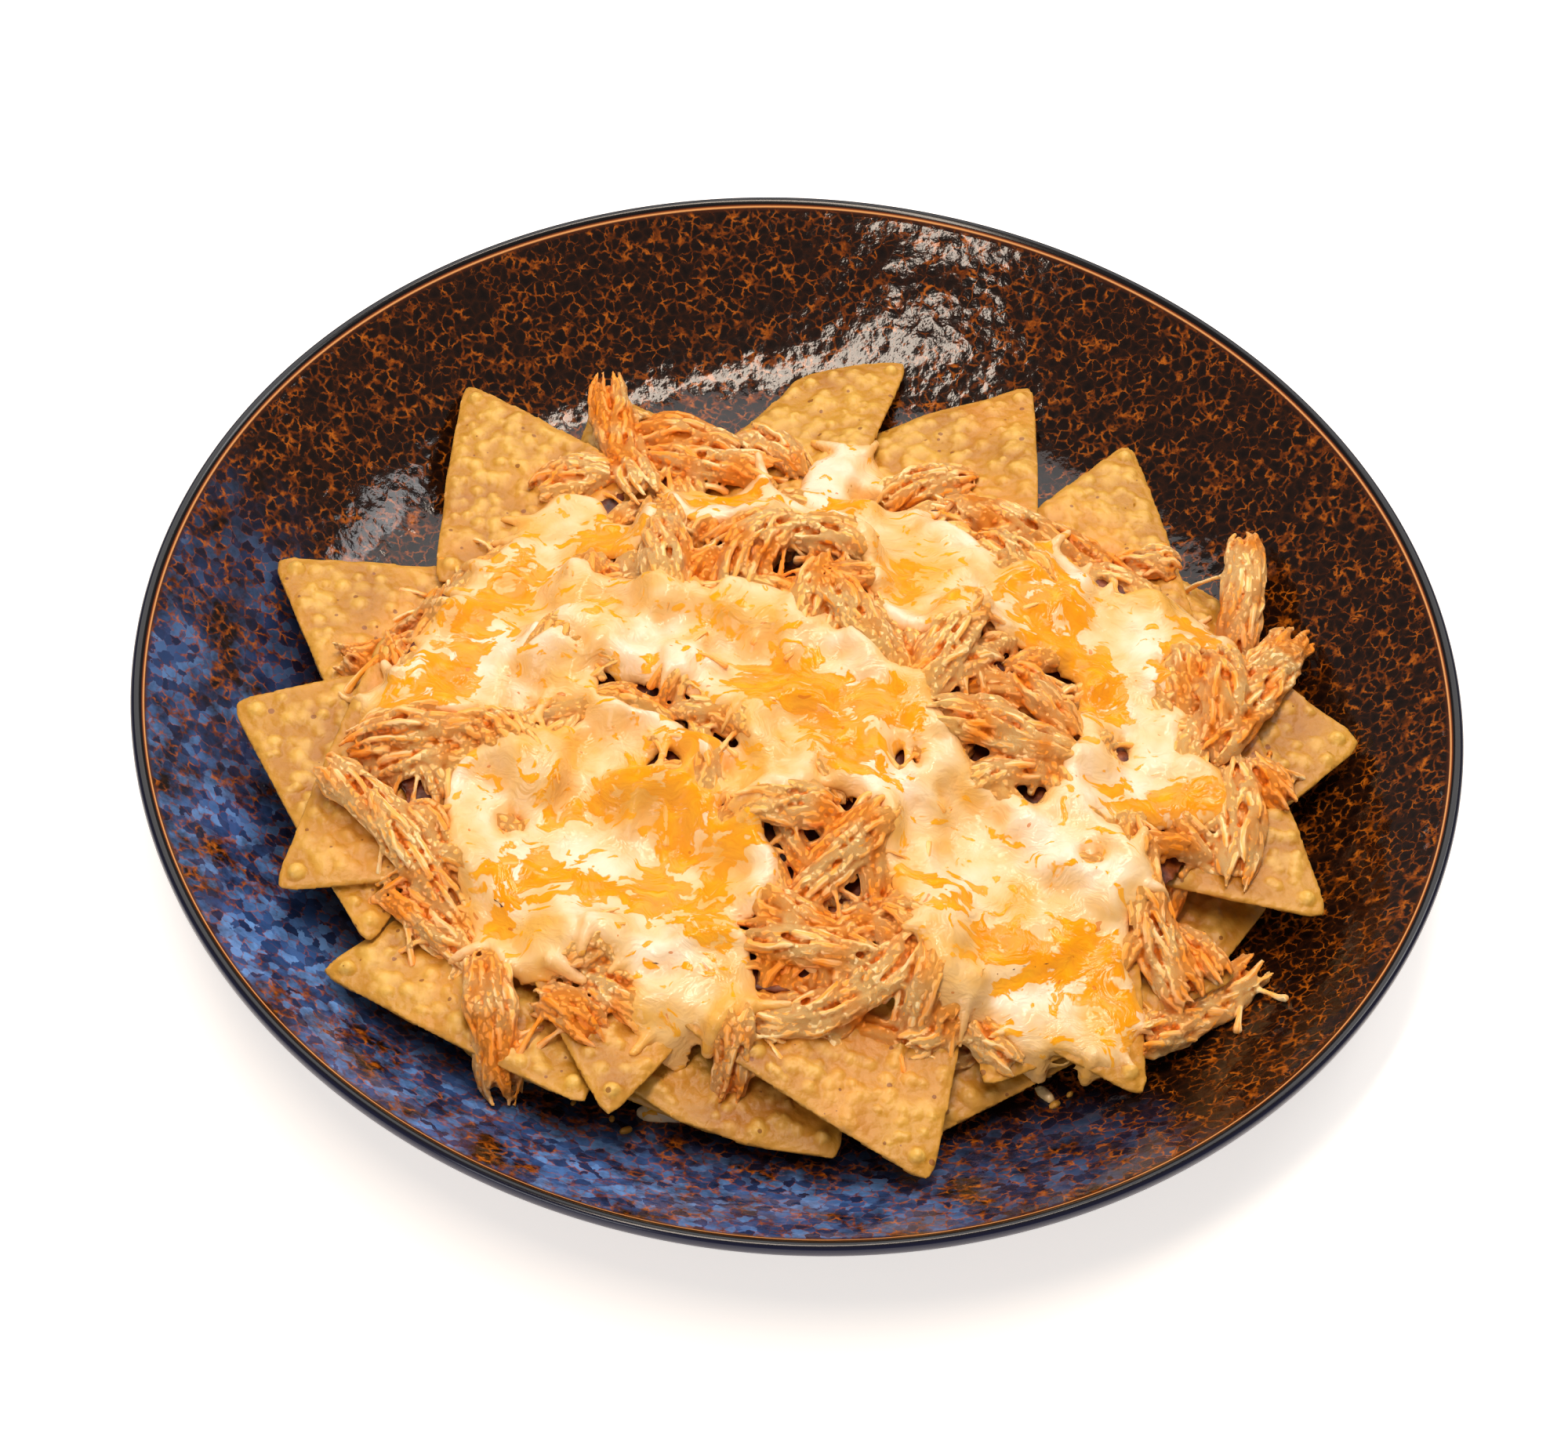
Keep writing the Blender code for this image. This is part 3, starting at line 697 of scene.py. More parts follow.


# ---- shredded chicken ----

# Bundles of shreds, listed one by one: the width, then places along the bundle as x, y and
# the height of its middle over what it lies on, all in mm.
BUNDLES = (
    (10, (-49, 83, 10), (-45, 68, 5), (-37, 48, 2)),
    (9, (-36, 63, 3), (-24, 60, 3), (-11, 56, 2)),
    (10, (-61, 50, 1), (-54, 54, 2), (-47, 56, 1)),
    (9, (-43, 70, 1), (-31, 70, 3), (-15, 66, 1)),
    (8.5, (-38, 61, 0), (-28, 66, 1), (-20, 73, 0)),
    (10.5, (-58, 30, 1), (-69, 23, 2), (-81, 5, 0)),
    (10, (-33, 40, 3), (-31, 21, 5), (-29, 5, 1)),
    (10.5, (-16, 10, 0), (-12, 22, 4), (-3, 29, 4)),
    (10, (-5, 27, 3), (4, 27, 4), (12, 25, 2)),
    (7.5, (2, 20, 2), (0, 8, 1), (-3, -4, -1)),
    (9, (4, 12, 2), (12, 2, 2), (20, -8, 0)),
    (10.5, (35, 14, 3), (30, 0, 4), (24, -15, 0)),
    (10.5, (28, -17, 2), (42, -19, 3), (58, -21, 1)),
    (10, (14, 59, 0), (24, 63, 2), (34, 65, 0)),
    (10, (31, 52, 1), (49, 46, 2), (69, 40, 0)),
    (9, (37, 40, 1), (44, 35, 2), (51, 29, 1)),
    (10, (96, 55, 8), (95, 38, 6), (94, 21, 2)),
    (11.5, (106, 30, 6), (97, 8, 4), (87, -12, 1)),
    (10, (91, -13, 2), (93, -27, 3), (92, -41, 0)),
    (8.5, (96, -12, 1), (99, -17, 1), (103, -21, 0)),
    (11.5, (69, -39, 1), (75, -57, 4), (83, -69, 3)),
    (10, (74, -80, 2), (86, -68, 3), (97, -57, 4)),
    (8.5, (37, -79, 1), (43, -84, 2), (49, -88, 0)),
    (9, (38, -75, 2), (33, -82, 2), (27, -88, 0)),
    (10, (-5, -84, 0), (10, -84, 3), (28, -69, 2)),
    (7.5, (17, -78, 1), (14, -83, 1), (11, -87, 0)),
    (10.5, (-8, -43, 2), (0, -44, 4), (8, -44, 2)),
    (10.5, (19, -41, 2), (13, -50, 4), (5, -60, 1)),
    (9, (-6, -61, 1), (2, -66, 2), (10, -69, 0)),
    (9, (-7, -71, 1), (5, -73, 2), (17, -74, 1)),
    (8.5, (-7, -86, 1), (-7, -92, 1), (-7, -98, -2)),
    (10, (-50, -79, 1), (-40, -76, 3), (-30, -72, 1)),
    (9, (-38, -77, 1), (-31, -83, 2), (-24, -89, 0)),
    (10, (-58, -77, 3), (-55, -90, 4), (-52, -101, 2)),
    (9, (-78, -63, 1), (-68, -70, 2), (-59, -76, 0)),
    (10, (-94, -40, 4), (-80, -51, 4), (-63, -68, 1)),
    (10.5, (-89, -31, 2), (-76, -28, 4), (-64, -26, 2)),
    (10.5, (-64, -25, 2), (-56, -31, 4), (-49, -39, 2)),
    (8.5, (-85, -36, 1), (-75, -34, 1), (-66, -32, 0)),
    (10.5, (-56, -9, 1), (-47, -2, 4), (-37, -6, 1)),
    (9, (-97, -2, 2), (-87, 1, 2), (-77, 4, 1)),
    (8.5, (45, -3, 1), (51, -9, 2), (57, -15, 1)),
    (8.5, (20, -63, 1), (29, -66, 2), (37, -69, 1)),
    (8.5, (-46, -85, 0), (-40, -89, 1), (-34, -93, -1)),
    (10, (88, 28, 2), (89, 10, 3), (88, -7, 1)),
    (8.5, (69, 43, 1), (75, 45, 2), (80, 46, 1)),
    (8.5, (79, -49, 0), (84, -56, 1), (90, -62, 0)),
    (9, (-24, 73, 1), (-14, 72, 3), (-4, 65, 1)),
)
FIBRE_COVER = 0.15                 # fibres for each square mm of a bundle's plan
FIBRE_LENGTH = (6.5, 14.0)         # mm
FIBRE_RADIUS = (0.55, 0.95)        # mm
FIBRE_SLANT = 0.55                 # radians round the bundle, from one end of a fibre to the other
SHRED_VOXEL = 0.5 * MM
SHRED_FACES = 135000               # most triangles in one piece of shreds
FIBRE_POINTS = 6
TUBE_SIDES = 6
BUNDLE_FLATNESS = 0.36             # half thickness for each mm of width
BODY_THICKNESS = 0.66              # the meat under the fibres, as a part of the half thickness
FILLER_SPACING = 9.5               # mm between the smaller bundles laid in between
CORE_INSET = 7.0                   # mm from the outline in to the core's edge
CORE_VOXEL = 1.6 * MM
SECTORS = 36                       # sectors of 10 degrees, in which the core's outline is measured
LONGEST_DROP = 9.0                 # mm that a loose strand falls at most
HIDDEN = 4.0                       # mm inside the cheese's outline, past which nothing shows


def spine_point(spine, t):
    """Point on the smooth curve through three points."""
    a, b, c = spine
    return a * ((1 - t) * (1 - 2 * t)) + b * (4 * t * (1 - t)) + c * (t * (2 * t - 1))


def bundle_frame(spine, t):
    """Point, direction, side and top of a bundle at a place along it."""
    middle = spine_point(spine, t)
    ahead = (spine_point(spine, t + 0.02) - spine_point(spine, t - 0.02)).normalized()
    side = ahead.cross(Vector((0, 0, 1))).normalized()
    return middle, ahead, side, side.cross(ahead)


def bundle_body(spine, width):
    """The meat under a bundle's fibres: three fat strands side by side."""
    half, thick = width / 2, width * BUNDLE_FLATNESS
    strands = []
    for across in (-0.45, 0.0, 0.45):
        strand = []
        for k in range(9):
            t = 0.04 + 0.92 * k / 8
            middle, _, side, top = bundle_frame(spine, t)
            lump = 1 + 0.2 * noise.noise(Vector((t * 4, across * 9, middle.x)))
            radius = thick * BODY_THICKNESS * lump * (1.0 if 0 < k < 8 else 0.45)
            strand.append((middle + side * across * half - top * abs(across) * 0.8, radius))
        strands.append(strand)
    return strands


def bundle_fibres(spine, width, covered, dice):
    """Short overlapping fibres round a bundle, each a list of points with their radius."""
    half, thick = width / 2, width * BUNDLE_FLATNESS
    length = (spine[1] - spine[0]).length + (spine[2] - spine[1]).length
    count = round(length * width * FIBRE_COVER)
    lean = dice.uniform(-0.5, 0.5)
    fibres = []
    for i in range(count):
        angle = math.radians(-38 + 256 * ((i * 0.618) % 1.0))
        centre = (i + dice.uniform(0, 1)) / count
        if covered(*spine_point(spine, centre).xy) > HIDDEN:
            continue
        reach = dice.uniform(*FIBRE_LENGTH) / length / 2
        start, end = max(centre - reach, -0.08), min(centre + reach, 1.08)
        radius = dice.uniform(*FIBRE_RADIUS)
        seed = dice.uniform(0, 99)
        proud = dice.uniform(0.88, 1.1)
        slant = lean + dice.uniform(-FIBRE_SLANT, FIBRE_SLANT)
        barb = dice.uniform(0.5, 1.7) if dice.random() < 0.3 else 0.0
        tip = dice.choice((0.0, 1.0))
        fibre = []
        for k in range(FIBRE_POINTS):
            u = k / (FIBRE_POINTS - 1)
            t = start + (end - start) * u
            middle, _, side, top = bundle_frame(spine, t)
            turn = angle + noise.noise(Vector((t * 3.2, seed, 0))) * 0.5 + slant * (u - 0.5)
            swell = 0.72 + 0.28 * math.sin(math.pi * min(max(t, 0), 1)) ** 0.5
            swell *= 1 + 0.2 * noise.noise(Vector((t * 5, middle.x, 5)))
            dip = 1 - 0.16 * abs(2 * u - 1) ** 3
            lifted = barb * (1 - abs(u - tip)) ** 3
            out = side * (math.cos(turn) * (half - 0.5)) + top * (math.sin(turn) * (thick - 0.2))
            place = middle + out * (proud * swell * dip) + out.normalized() * lifted
            taper = 0.4 + 0.6 * math.sin(math.pi * min(max(u, 0.03), 0.97)) ** 0.6
            fibre.append((place, radius * taper))
        fibres.append(fibre)
    return fibres


def loose_strands(spine, width, ground, dice):
    """Strands that leave a bundle's side and bend down onto what is beside it."""
    strands = []
    for _ in range(dice.randint(2, 4)):
        middle, ahead, side, _ = bundle_frame(spine, dice.uniform(0.1, 0.9))
        hand = dice.choice((-1, 1))
        start = middle + side * hand * width * 0.3
        heading = (side * hand + ahead * dice.uniform(-1.4, 1.4)).normalized()
        end = start + heading * dice.uniform(5, 10)
        end.z = float(ground.at(end.x, end.y)) - 0.6
        if start.z - end.z > LONGEST_DROP:
            continue
        knee = start.lerp(end, 0.45) + Vector((0, 0, dice.uniform(0.6, 1.8)))
        radius = dice.uniform(0.55, 0.95)
        strand = []
        for k in range(FIBRE_POINTS):
            u = k / (FIBRE_POINTS - 1)
            place = spine_point((start, knee, end), u)
            strand.append((place, radius * (1.25 - 0.5 * math.sin(math.pi * u))))
        strands.append(strand)
    return strands


def kept_above(lines, floor):
    """The same lines, with what would sink into the bowl lifted onto it."""
    lifted = []
    for line in lines:
        levels = [float(floor.at(place.x, place.y)) + radius for place, radius in line]
        lifted.append([(Vector((place.x, place.y, max(place.z, level))), radius)
                       for (place, radius), level in zip(line, levels)])
    return lifted


def with_ends(lines):
    """The same lines, each closed by a point just past either end."""
    ended = []
    for line in lines:
        first, last = line[0], line[-1]
        before = first[0] + (first[0] - line[1][0]).normalized() * first[1] * 0.6
        after = last[0] + (last[0] - line[-2][0]).normalized() * last[1] * 0.6
        ended.append([(before, 0.0)] + line + [(after, 0.0)])
    return ended


def tube_mesh(name, lines):
    """Closed round tubes along lines of points with their own radius, made one mesh."""
    curve = bpy.data.curves.new(name, "CURVE")
    curve.dimensions = "3D"
    curve.bevel_depth = MM
    curve.bevel_resolution = (TUBE_SIDES - 4) // 2
    for line in with_ends(lines):
        spline = curve.splines.new("POLY")
        spline.points.add(len(line) - 1)
        for point, (place, radius) in zip(spline.points, line):
            point.co = (*(place * MM), 1.0)
            point.radius = radius
    piece = bpy.data.objects.new(name, curve)
    bpy.context.scene.collection.objects.link(piece)
    only(piece)
    bpy.ops.object.convert(target="MESH")
    piece = bpy.context.active_object
    merge_doubles(piece, 0.001 * MM)
    return piece


def smoothed_points(piece, rounds):
    """The vertices' places after averaging with their neighbours."""
    ends = np.empty(len(piece.data.edges) * 2, int)
    piece.data.edges.foreach_get("vertices", ends)
    a, b = ends.reshape(-1, 2).T
    points = points_of(piece)
    count = np.bincount(a, minlength=len(points)) + np.bincount(b, minlength=len(points))
    for _ in range(rounds):
        summed = np.stack([np.bincount(a, points[b, k], len(points))
                           + np.bincount(b, points[a, k], len(points)) for k in range(3)], axis=1)
        points = 0.5 * points + 0.5 * summed / np.maximum(count, 1)[:, None]
    return points


def paint_crevices(piece, rounds=6):
    """Store how deep each place lies in a crease, in mm. Ridges are negative."""
    deep = ((smoothed_points(piece, rounds) - points_of(piece)) * normals_of(piece)).sum(axis=1)
    paint(piece, "crease", deep / MM)


def paint_fibres(piece, lines, dice):
    """Store each place's position along its fibre, and the fibre's own shade."""
    tree = kdtree.KDTree(sum(len(line) for line in lines))
    aheads, centres, ways, shades = [], [], [], []
    for line in lines:
        shade, way = dice.random(), dice.uniform(0, 500)
        for k, (place, _) in enumerate(line):
            before, following = line[max(k - 1, 0)][0], line[min(k + 1, len(line) - 1)][0]
            way += (place - before).length
            tree.insert(place, len(centres))
            centres.append(tuple(place))
            aheads.append(tuple((following - before).normalized()))
            shades.append(shade)
            ways.append(way)
    tree.balance()
    points = points_of(piece) / MM
    nearest = np.array([tree.find(p)[1] for p in points])
    ahead, shade = np.array(aheads)[nearest], np.array(shades)[nearest]
    away = points - np.array(centres)[nearest]
    side = np.cross(ahead, (0, 0, 1.0))
    side /= np.maximum(np.linalg.norm(side, axis=1), 1e-6)[:, None]
    along = np.array(ways)[nearest] + (away * ahead).sum(axis=1)
    across = (away * side).sum(axis=1) + shade * 90
    paint_vectors(piece, "grain", np.stack([along, across, shade * 50], axis=1))
    paint(piece, "shade", shade)


def laid_spine(row, ground):
    """A bundle's three guiding points, lifted onto what is under them."""
    return [Vector((x, y, float(ground.at(x, y)) + lift)) for x, y, lift in row[1:]]


def filler_rows(cover, dice):
    """Smaller bundles in between, laid every which way where cheese doesn't hide them."""
    rows, taken = [], []
    for _ in range(8000):
        x, y = dice.uniform(-100, 100), dice.uniform(-100, 100)
        turn, reach = dice.uniform(0, math.pi), dice.uniform(7, 12)
        dx, dy = reach * math.cos(turn), reach * math.sin(turn)
        spots = ((x - dx, y - dy), (x, y), (x + dx, y + dy))
        if any(math.hypot(a, b) > heap_reach(a, b) for a, b in spots) or cover(x, y) > HIDDEN:
            continue
        if any(math.hypot(x - a, y - b) < FILLER_SPACING for a, b in taken):
            continue
        taken.append((x, y))
        bend = dice.uniform(-3, 3)
        low = dice.uniform(-2.8, 0.2)
        rows.append((dice.uniform(5.0, 8.0), (x - dx, y - dy, low - 1.5),
                     (x - bend * dy / reach, y + bend * dx / reach, low + 1.5),
                     (x + dx, y + dy, low - 1.5)))
    return rows


def make_chicken(ground, floor, cover, meat):
    """The shreds in four pieces, one for each quarter of the heap."""
    dice = random.Random(11)
    quarters = {}
    for row in BUNDLES + tuple(filler_rows(cover, dice)):
        spine, width = laid_spine(row, ground), row[0]
        name = ("far" if spine[1].y > -8 else "near") + ("_left" if spine[1].x < 0 else "_right")
        lines = quarters.setdefault(name, [])
        lines += bundle_body(spine, width)
        lines += bundle_fibres(spine, width, cover, dice)
        lines += loose_strands(spine, width, ground, dice)
    pieces = []
    for name, lines in sorted(quarters.items()):
        lines = kept_above(lines, floor)
        piece = tube_mesh("chicken_" + name, lines)
        reskin(piece, SHRED_VOXEL, 1)
        paint_crevices(piece)
        paint_fibres(piece, lines, dice)
        thin_out(piece, SHRED_FACES)
        points = points_of(piece) / MM
        paint(piece, "coat", cover(points[:, 0], points[:, 1]))
        pieces.append(finish_piece(piece, meat, "chicken"))
    return pieces


def make_core(sauce):
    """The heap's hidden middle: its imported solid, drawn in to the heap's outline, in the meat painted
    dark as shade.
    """
    piece = merged_copy("shredded_chicken", "chicken_core")
    apply_modifier(piece, "skin", "REMESH", mode="VOXEL", voxel_size=CORE_VOXEL)
    points = points_of(piece)
    sector = (np.degrees(np.arctan2(points[:, 1], points[:, 0])) % 360 / 10).astype(int)
    radius = np.hypot(points[:, 0], points[:, 1]) / MM
    furthest = np.array([radius[sector == k].max() for k in range(SECTORS)])
    wanted = np.array([heap_reach(x, y) for x, y in points[:, :2]]) - CORE_INSET
    ratio = np.minimum(wanted / blend_sectors(points, furthest), 0.97)
    points[:, :2] *= ratio[:, None]
    move_points(piece, points)
    return finish_piece(piece, sauce, "chicken", "shredded_chicken")


def blend_sectors(points, values):
    """Values given at the middle of every 10 degrees, blended at each point's direction."""
    turn = np.degrees(np.arctan2(points[:, 1], points[:, 0])) % 360 / 10 - 0.5
    first = np.floor(turn).astype(int)
    part = turn - first
    return values[first % SECTORS] * (1 - part) + values[(first + 1) % SECTORS] * part


def sink_core(piece):
    """Lower the core under the shreds that were laid on it, and make it lumpy."""
    points = points_of(piece)
    away = np.hypot(points[:, 0], points[:, 1]) / (100 * MM)
    points[:, 2] -= (5.0 - 2.5 * np.clip(away, 0, 1)) * MM * np.clip(normals_of(piece)[:, 2], 0, 1)
    move_points(piece, points)
    lumps = bpy.data.textures.new("lumps", "CLOUDS")
    lumps.noise_scale = 5 * MM
    apply_modifier(piece, "lumps", "DISPLACE", texture=lumps, texture_coords="LOCAL",
                   strength=2.5 * MM, mid_level=0.6)


# ---- melted cheese ----

# Where the cheese lies, as rounded strokes: from x, y to x, y, and the half width, in mm.
CHEESE_STROKES = (
    (-54, 37, -62, 17, 9), (-62, 17, -71, -15, 10), (-71, -15, -84, -21, 6), (-54, 35, -40, 31, 6),
    (-58, 15, -42, 3, 8), (-26, 43, -7, 45, 7), (-7, 45, 15, 37, 9), (7, 66, 4, 46, 7),
    (18, 32, 26, 12, 9), (15, 48, 32, 29, 6), (43, 20, 62, 14, 10), (62, 18, 82, 23, 8),
    (51, 37, 61, 26, 4), (69, 3, 70, -20, 9), (62, -25, 82, -23, 7), (56, -37, 66, -48, 6),
    (-44, 5, -10, -11, 10), (-11, -2, 18, -20, 11), (10, -21, 22, -37, 10), (-52, -14, -43, -34, 8),
    (-41, -30, -17, -41, 11), (-59, -41, -49, -72, 9), (-48, -52, -19, -57, 15),
    (-27, -68, -14, -81, 10), (-17, -83, -21, -89, 5), (27, -33, 34, -44, 10),
    (36, -47, 52, -56, 15), (46, -68, 61, -77, 12), (63, -62, 69, -76, 4), (32, -67, 38, -77, 5),
    (-7, -19, -2, -37, 5),
)
# Openings in it: x, y and radius in mm.
CHEESE_HOLES = (
    (67, -14, 2.9), (79, 1, 3.5), (-53, -23, 4.5), (-26, -33, 3.5), (-16, -35, 3.5), (5, 6, 6.5),
    (-25, 14, 3.2), (62, -45, 1.9), (38, -12, 11), (9, -49, 11), (-56, -48, 2.3), (-46, -21, 2.4),
    (23, -28, 2.4), (5, -69, 9.7), (-11, -43, 2.9),
)
# Where the orange-yellow cheese shows most, as strokes like those above.
CHEDDAR_STROKES = (
    (-62, 21, -74, -17, 5), (-47, 34, -42, 19, 4), (-24, 43, -14, 47, 4), (1, 42, 9, 52, 2),
    (-10, -13, 19, -20, 6), (5, -21, 14, -31, 5), (-22, -23, -21, -49, 4), (-46, -43, -26, -38, 3),
    (-51, -56, -55, -71, 3), (-44, -62, -23, -62, 4), (-12, -50, -15, -71, 3), (19, 25, 21, 15, 3),
    (49, 17, 62, 0, 6), (79, 9, 84, 19, 4), (70, -30, 86, -26, 5), (41, -67, 70, -67, 5),
    (64, -68, 70, -77, 3), (-33, 28, -16, 23, 3), (43, 25, 33, 12, 2), (28, -55, 38, -57, 2),
    (-83, -25, -71, -19, 3), (46, 37, 57, 22, 4),
)
CHEESE_VOXEL = 0.7 * MM
CHEESE_FACES = 170000              # most triangles in it
CHEESE_LAYER = 1.3                 # mm over what it covers
CHEESE_SHEET = 2.8                 # mm from top to underside where it spans a gap
TONGUE_SPACING = 7.5               # mm between the tongues that run off its edge
HIDDEN_CHIPS = 5
HIDDEN_CHIP_SIZE = 26.0            # mm: mean distance from a hidden chip's middle to its edge


def cheese_cover(x, y):
    """How far inside the cheese's outline a place is, in mm, with an uneven edge."""
    x, y = np.asarray(x, float), np.asarray(y, float)
    warp_x = noise_grid(x, y, 11.0, 1) * 3.0 + noise_grid(x, y, 4.5, 2) * 0.9
    warp_y = noise_grid(x, y, 11.0, 3) * 3.0 + noise_grid(x, y, 4.5, 4) * 0.9
    found = inside_strokes(CHEESE_STROKES, x + warp_x, y + warp_y) + 2.1
    for hole_x, hole_y, radius in CHEESE_HOLES:
        away = np.hypot(x + warp_x * 0.5 - hole_x, y + warp_y * 0.5 - hole_y)
        found = np.minimum(found, away - radius)
    return found


def cheese_heights(tops, cover):
    """Top of the cheese over everything under it: it bridges narrow gaps and sinks at its edge."""
    bridged = extreme(extreme(tops.z, 5.0, np.maximum), 5.0, np.minimum)
    held = 0.6 * blurred(bridged, 2.6) + 0.4 * blurred(tops.z, 1.3)
    held = np.maximum(held, blurred(tops.z, 1.5))
    piercing = blurred(extreme(tops.z, 1.5, np.maximum), 1.2) - CHEESE_LAYER + 0.5
    held = np.where(cover > 2.0, np.maximum(held, piercing), held)
    ripple = noise_grid(tops.x, tops.y, 5.0, 6) * 0.5 + noise_grid(tops.x, tops.y, 2.4, 7) * 0.22
    along = tops.x * 0.88 - tops.y * 0.48 + noise_grid(tops.x, tops.y, 14.0, 8) * 9
    beside = tops.x * 0.48 + tops.y * 0.88 + noise_grid(tops.x, tops.y, 14.0, 9) * 9
    melted_shreds = 0.3 - abs(noise_grid(along * 0.35, beside, 3.6, 10))
    ripple += 0.7 * np.clip(melted_shreds, -0.1, 0.3)
    thin = np.clip(1 - cover / 3.0, 0, 1.4)
    return held + CHEESE_LAYER + ripple - 2.3 * thin ** 1.6


def sheet_mesh(name, tops, surface, cover):
    """The draped sheet as one closed shell."""
    keep = cover > -0.6
    cells = keep[:-1, :-1] & keep[1:, :-1] & keep[1:, 1:] & keep[:-1, 1:]
    number = np.arange(tops.x.size).reshape(tops.x.shape)
    corners = np.stack([number[:-1, :-1], number[1:, :-1], number[1:, 1:], number[:-1, 1:]],
                       axis=-1)[cells]
    sheet = np.minimum(CHEESE_SHEET, 1.2 + 0.8 * np.clip(cover, 0, 3))
    upper = np.stack([tops.x, tops.y, surface], axis=-1).reshape(-1, 3)
    lower = np.stack([tops.x, tops.y, surface - sheet], axis=-1).reshape(-1, 3)
    count = len(upper)
    edges = {}
    for face in corners.tolist():
        for a, b in zip(face, face[1:] + face[:1]):
            if (b, a) in edges:
                del edges[b, a]
            else:
                edges[a, b] = None
    faces = corners.tolist() + [[count + v for v in reversed(face)] for face in corners.tolist()]
    faces += [[b, a, count + a, count + b] for a, b in edges]
    used = np.zeros(2 * count, bool)
    used[np.concatenate([np.array(face) for face in faces])] = True
    renumber = np.cumsum(used) - 1
    vertices = (np.concatenate([upper, lower])[used] * MM).tolist()
    return new_piece(name, vertices, [[int(renumber[v]) for v in face] for face in faces])


def tongue_lines(tops, surface, cover, dice):
    """Tongues that run off the sheet's edge, and strings across its small openings."""
    lines = []
    smooth = blurred(tops.z, 1.0)
    slope = np.gradient(blurred(cover, 1.5), tops.STEP)
    fall_x, fall_y = [-way for way in np.gradient(blurred(tops.z, 5.0), tops.STEP)]
    edge = np.argwhere(abs(cover) < 0.6).tolist()
    dice.shuffle(edge)
    taken = []
    for i, j in edge:
        x, y = tops.x[i, j], tops.y[i, j]
        if any(math.hypot(x - a, y - b) < TONGUE_SPACING for a, b in taken):
            continue
        taken.append((x, y))
        out = Vector((-slope[0][i, j], -slope[1][i, j]))
        if out.length < 0.1 or out.x * fall_x[i, j] + out.y * fall_y[i, j] < 0.02:
            continue
        out.normalize()
        out.rotate(Matrix.Rotation(dice.uniform(-0.5, 0.5), 2))
        length, radius = dice.uniform(2, 6.5), dice.uniform(1.0, 1.9)
        line = []
        for k in range(9):
            reach = -3.0 + (length + 3.0) * k / 8
            spot = Vector((x, y)) + out * reach
            level = float(tops.at(spot.x, spot.y, smooth)) + 0.2
            thick = radius * (1.3 - 0.6 * k / 8)
            line.append((Vector((spot.x, spot.y, level)), thick))
        lines.append([row for row in line if line[0][0].z - row[0].z < LONGEST_DROP])
    for hole_x, hole_y, radius in CHEESE_HOLES:
        for _ in range(1 if radius < 3 else 2):
            turn = dice.uniform(0.9, 2.2)
            reach = min(radius, 5.5) + 2.5
            across = Vector((math.cos(turn), math.sin(turn))) * reach
            shift = dice.uniform(-0.4, 0.4) * radius
            ends = []
            for hand in (-1, 1):
                spot = Vector((hole_x + shift, hole_y)) + across * hand
                ends.append(Vector((spot.x, spot.y, float(tops.at(spot.x, spot.y, surface)) - 0.8)))
            sag = Vector((0, 0, 0.8))
            thick = dice.uniform(0.7, 1.1)
            lines.append([(ends[0].lerp(ends[1], k / 8) - sag * math.sin(math.pi * k / 8),
                           thick * (1 + 0.9 * abs(k / 4 - 1) ** 2)) for k in range(9)])
    return lines


def joined(name, pieces):
    """Several pieces as one, under a new name."""
    bpy.ops.object.select_all(action="DESELECT")
    for piece in pieces:
        piece.select_set(True)
    bpy.context.view_layer.objects.active = pieces[0]
    if len(pieces) > 1:
        bpy.ops.object.join()
    pieces[0].name = pieces[0].data.name = name
    return pieces[0]


def make_cheese(tops, cover, melt):
    """The draped sheet with its tongues and strings, fused and smoothed."""
    dice = random.Random(5)
    surface = cheese_heights(tops, cover)
    sheet = sheet_mesh("sheet", tops, surface, cover)
    tongues = tube_mesh("tongues", tongue_lines(tops, surface, cover, dice))
    piece = joined("melted_cheese_sheet", [sheet, tongues])
    reskin(piece, CHEESE_VOXEL, 5)
    points = points_of(piece) / MM
    warp_x = noise_grid(points[:, 0], points[:, 1], 7.0, 11) * 4.5
    warp_y = noise_grid(points[:, 0], points[:, 1], 7.0, 12) * 4.5
    cheddar = inside_strokes(CHEDDAR_STROKES, points[:, 0] + warp_x, points[:, 1] + warp_y)
    paint(piece, "cheddar", np.maximum(cheddar, -3.5))
    paint(piece, "cover", tops.at(points[:, 0], points[:, 1], cover))
    paint(piece, "steep", 1 - np.clip(normals_of(piece)[:, 2], 0, 1))
    paint_crevices(piece, 10)
    thin_out(piece, CHEESE_FACES)
    return finish_piece(piece, melt, "cheese", "melted_cheese")


# ---- loose bits ----

# Cheese that ran onto the bowl: x, y, length, width and direction in degrees.
CHEESE_SPILLS = (
    (-45, -92, 9, 5, 10), (-20, -98, 10, 5, 5), (-14, -96, 5, 4, 40), (56, -86, 5, 3, -50),
    (57, -78, 7, 3.5, 80),
)
# Crumbs of chip and chicken that lie clear of the heap: x, y and size.
CRUMBS = (
    (-27, -104, 2.4), (-51, -98, 2.6), (58, -89, 2.2), (-54, -95, 1.6), (-30, -101, 1.5),
    (61, -86, 1.5), (-88, 12, 1.6), (75, 62, 1.6), (-38, -98, 1.4),
)


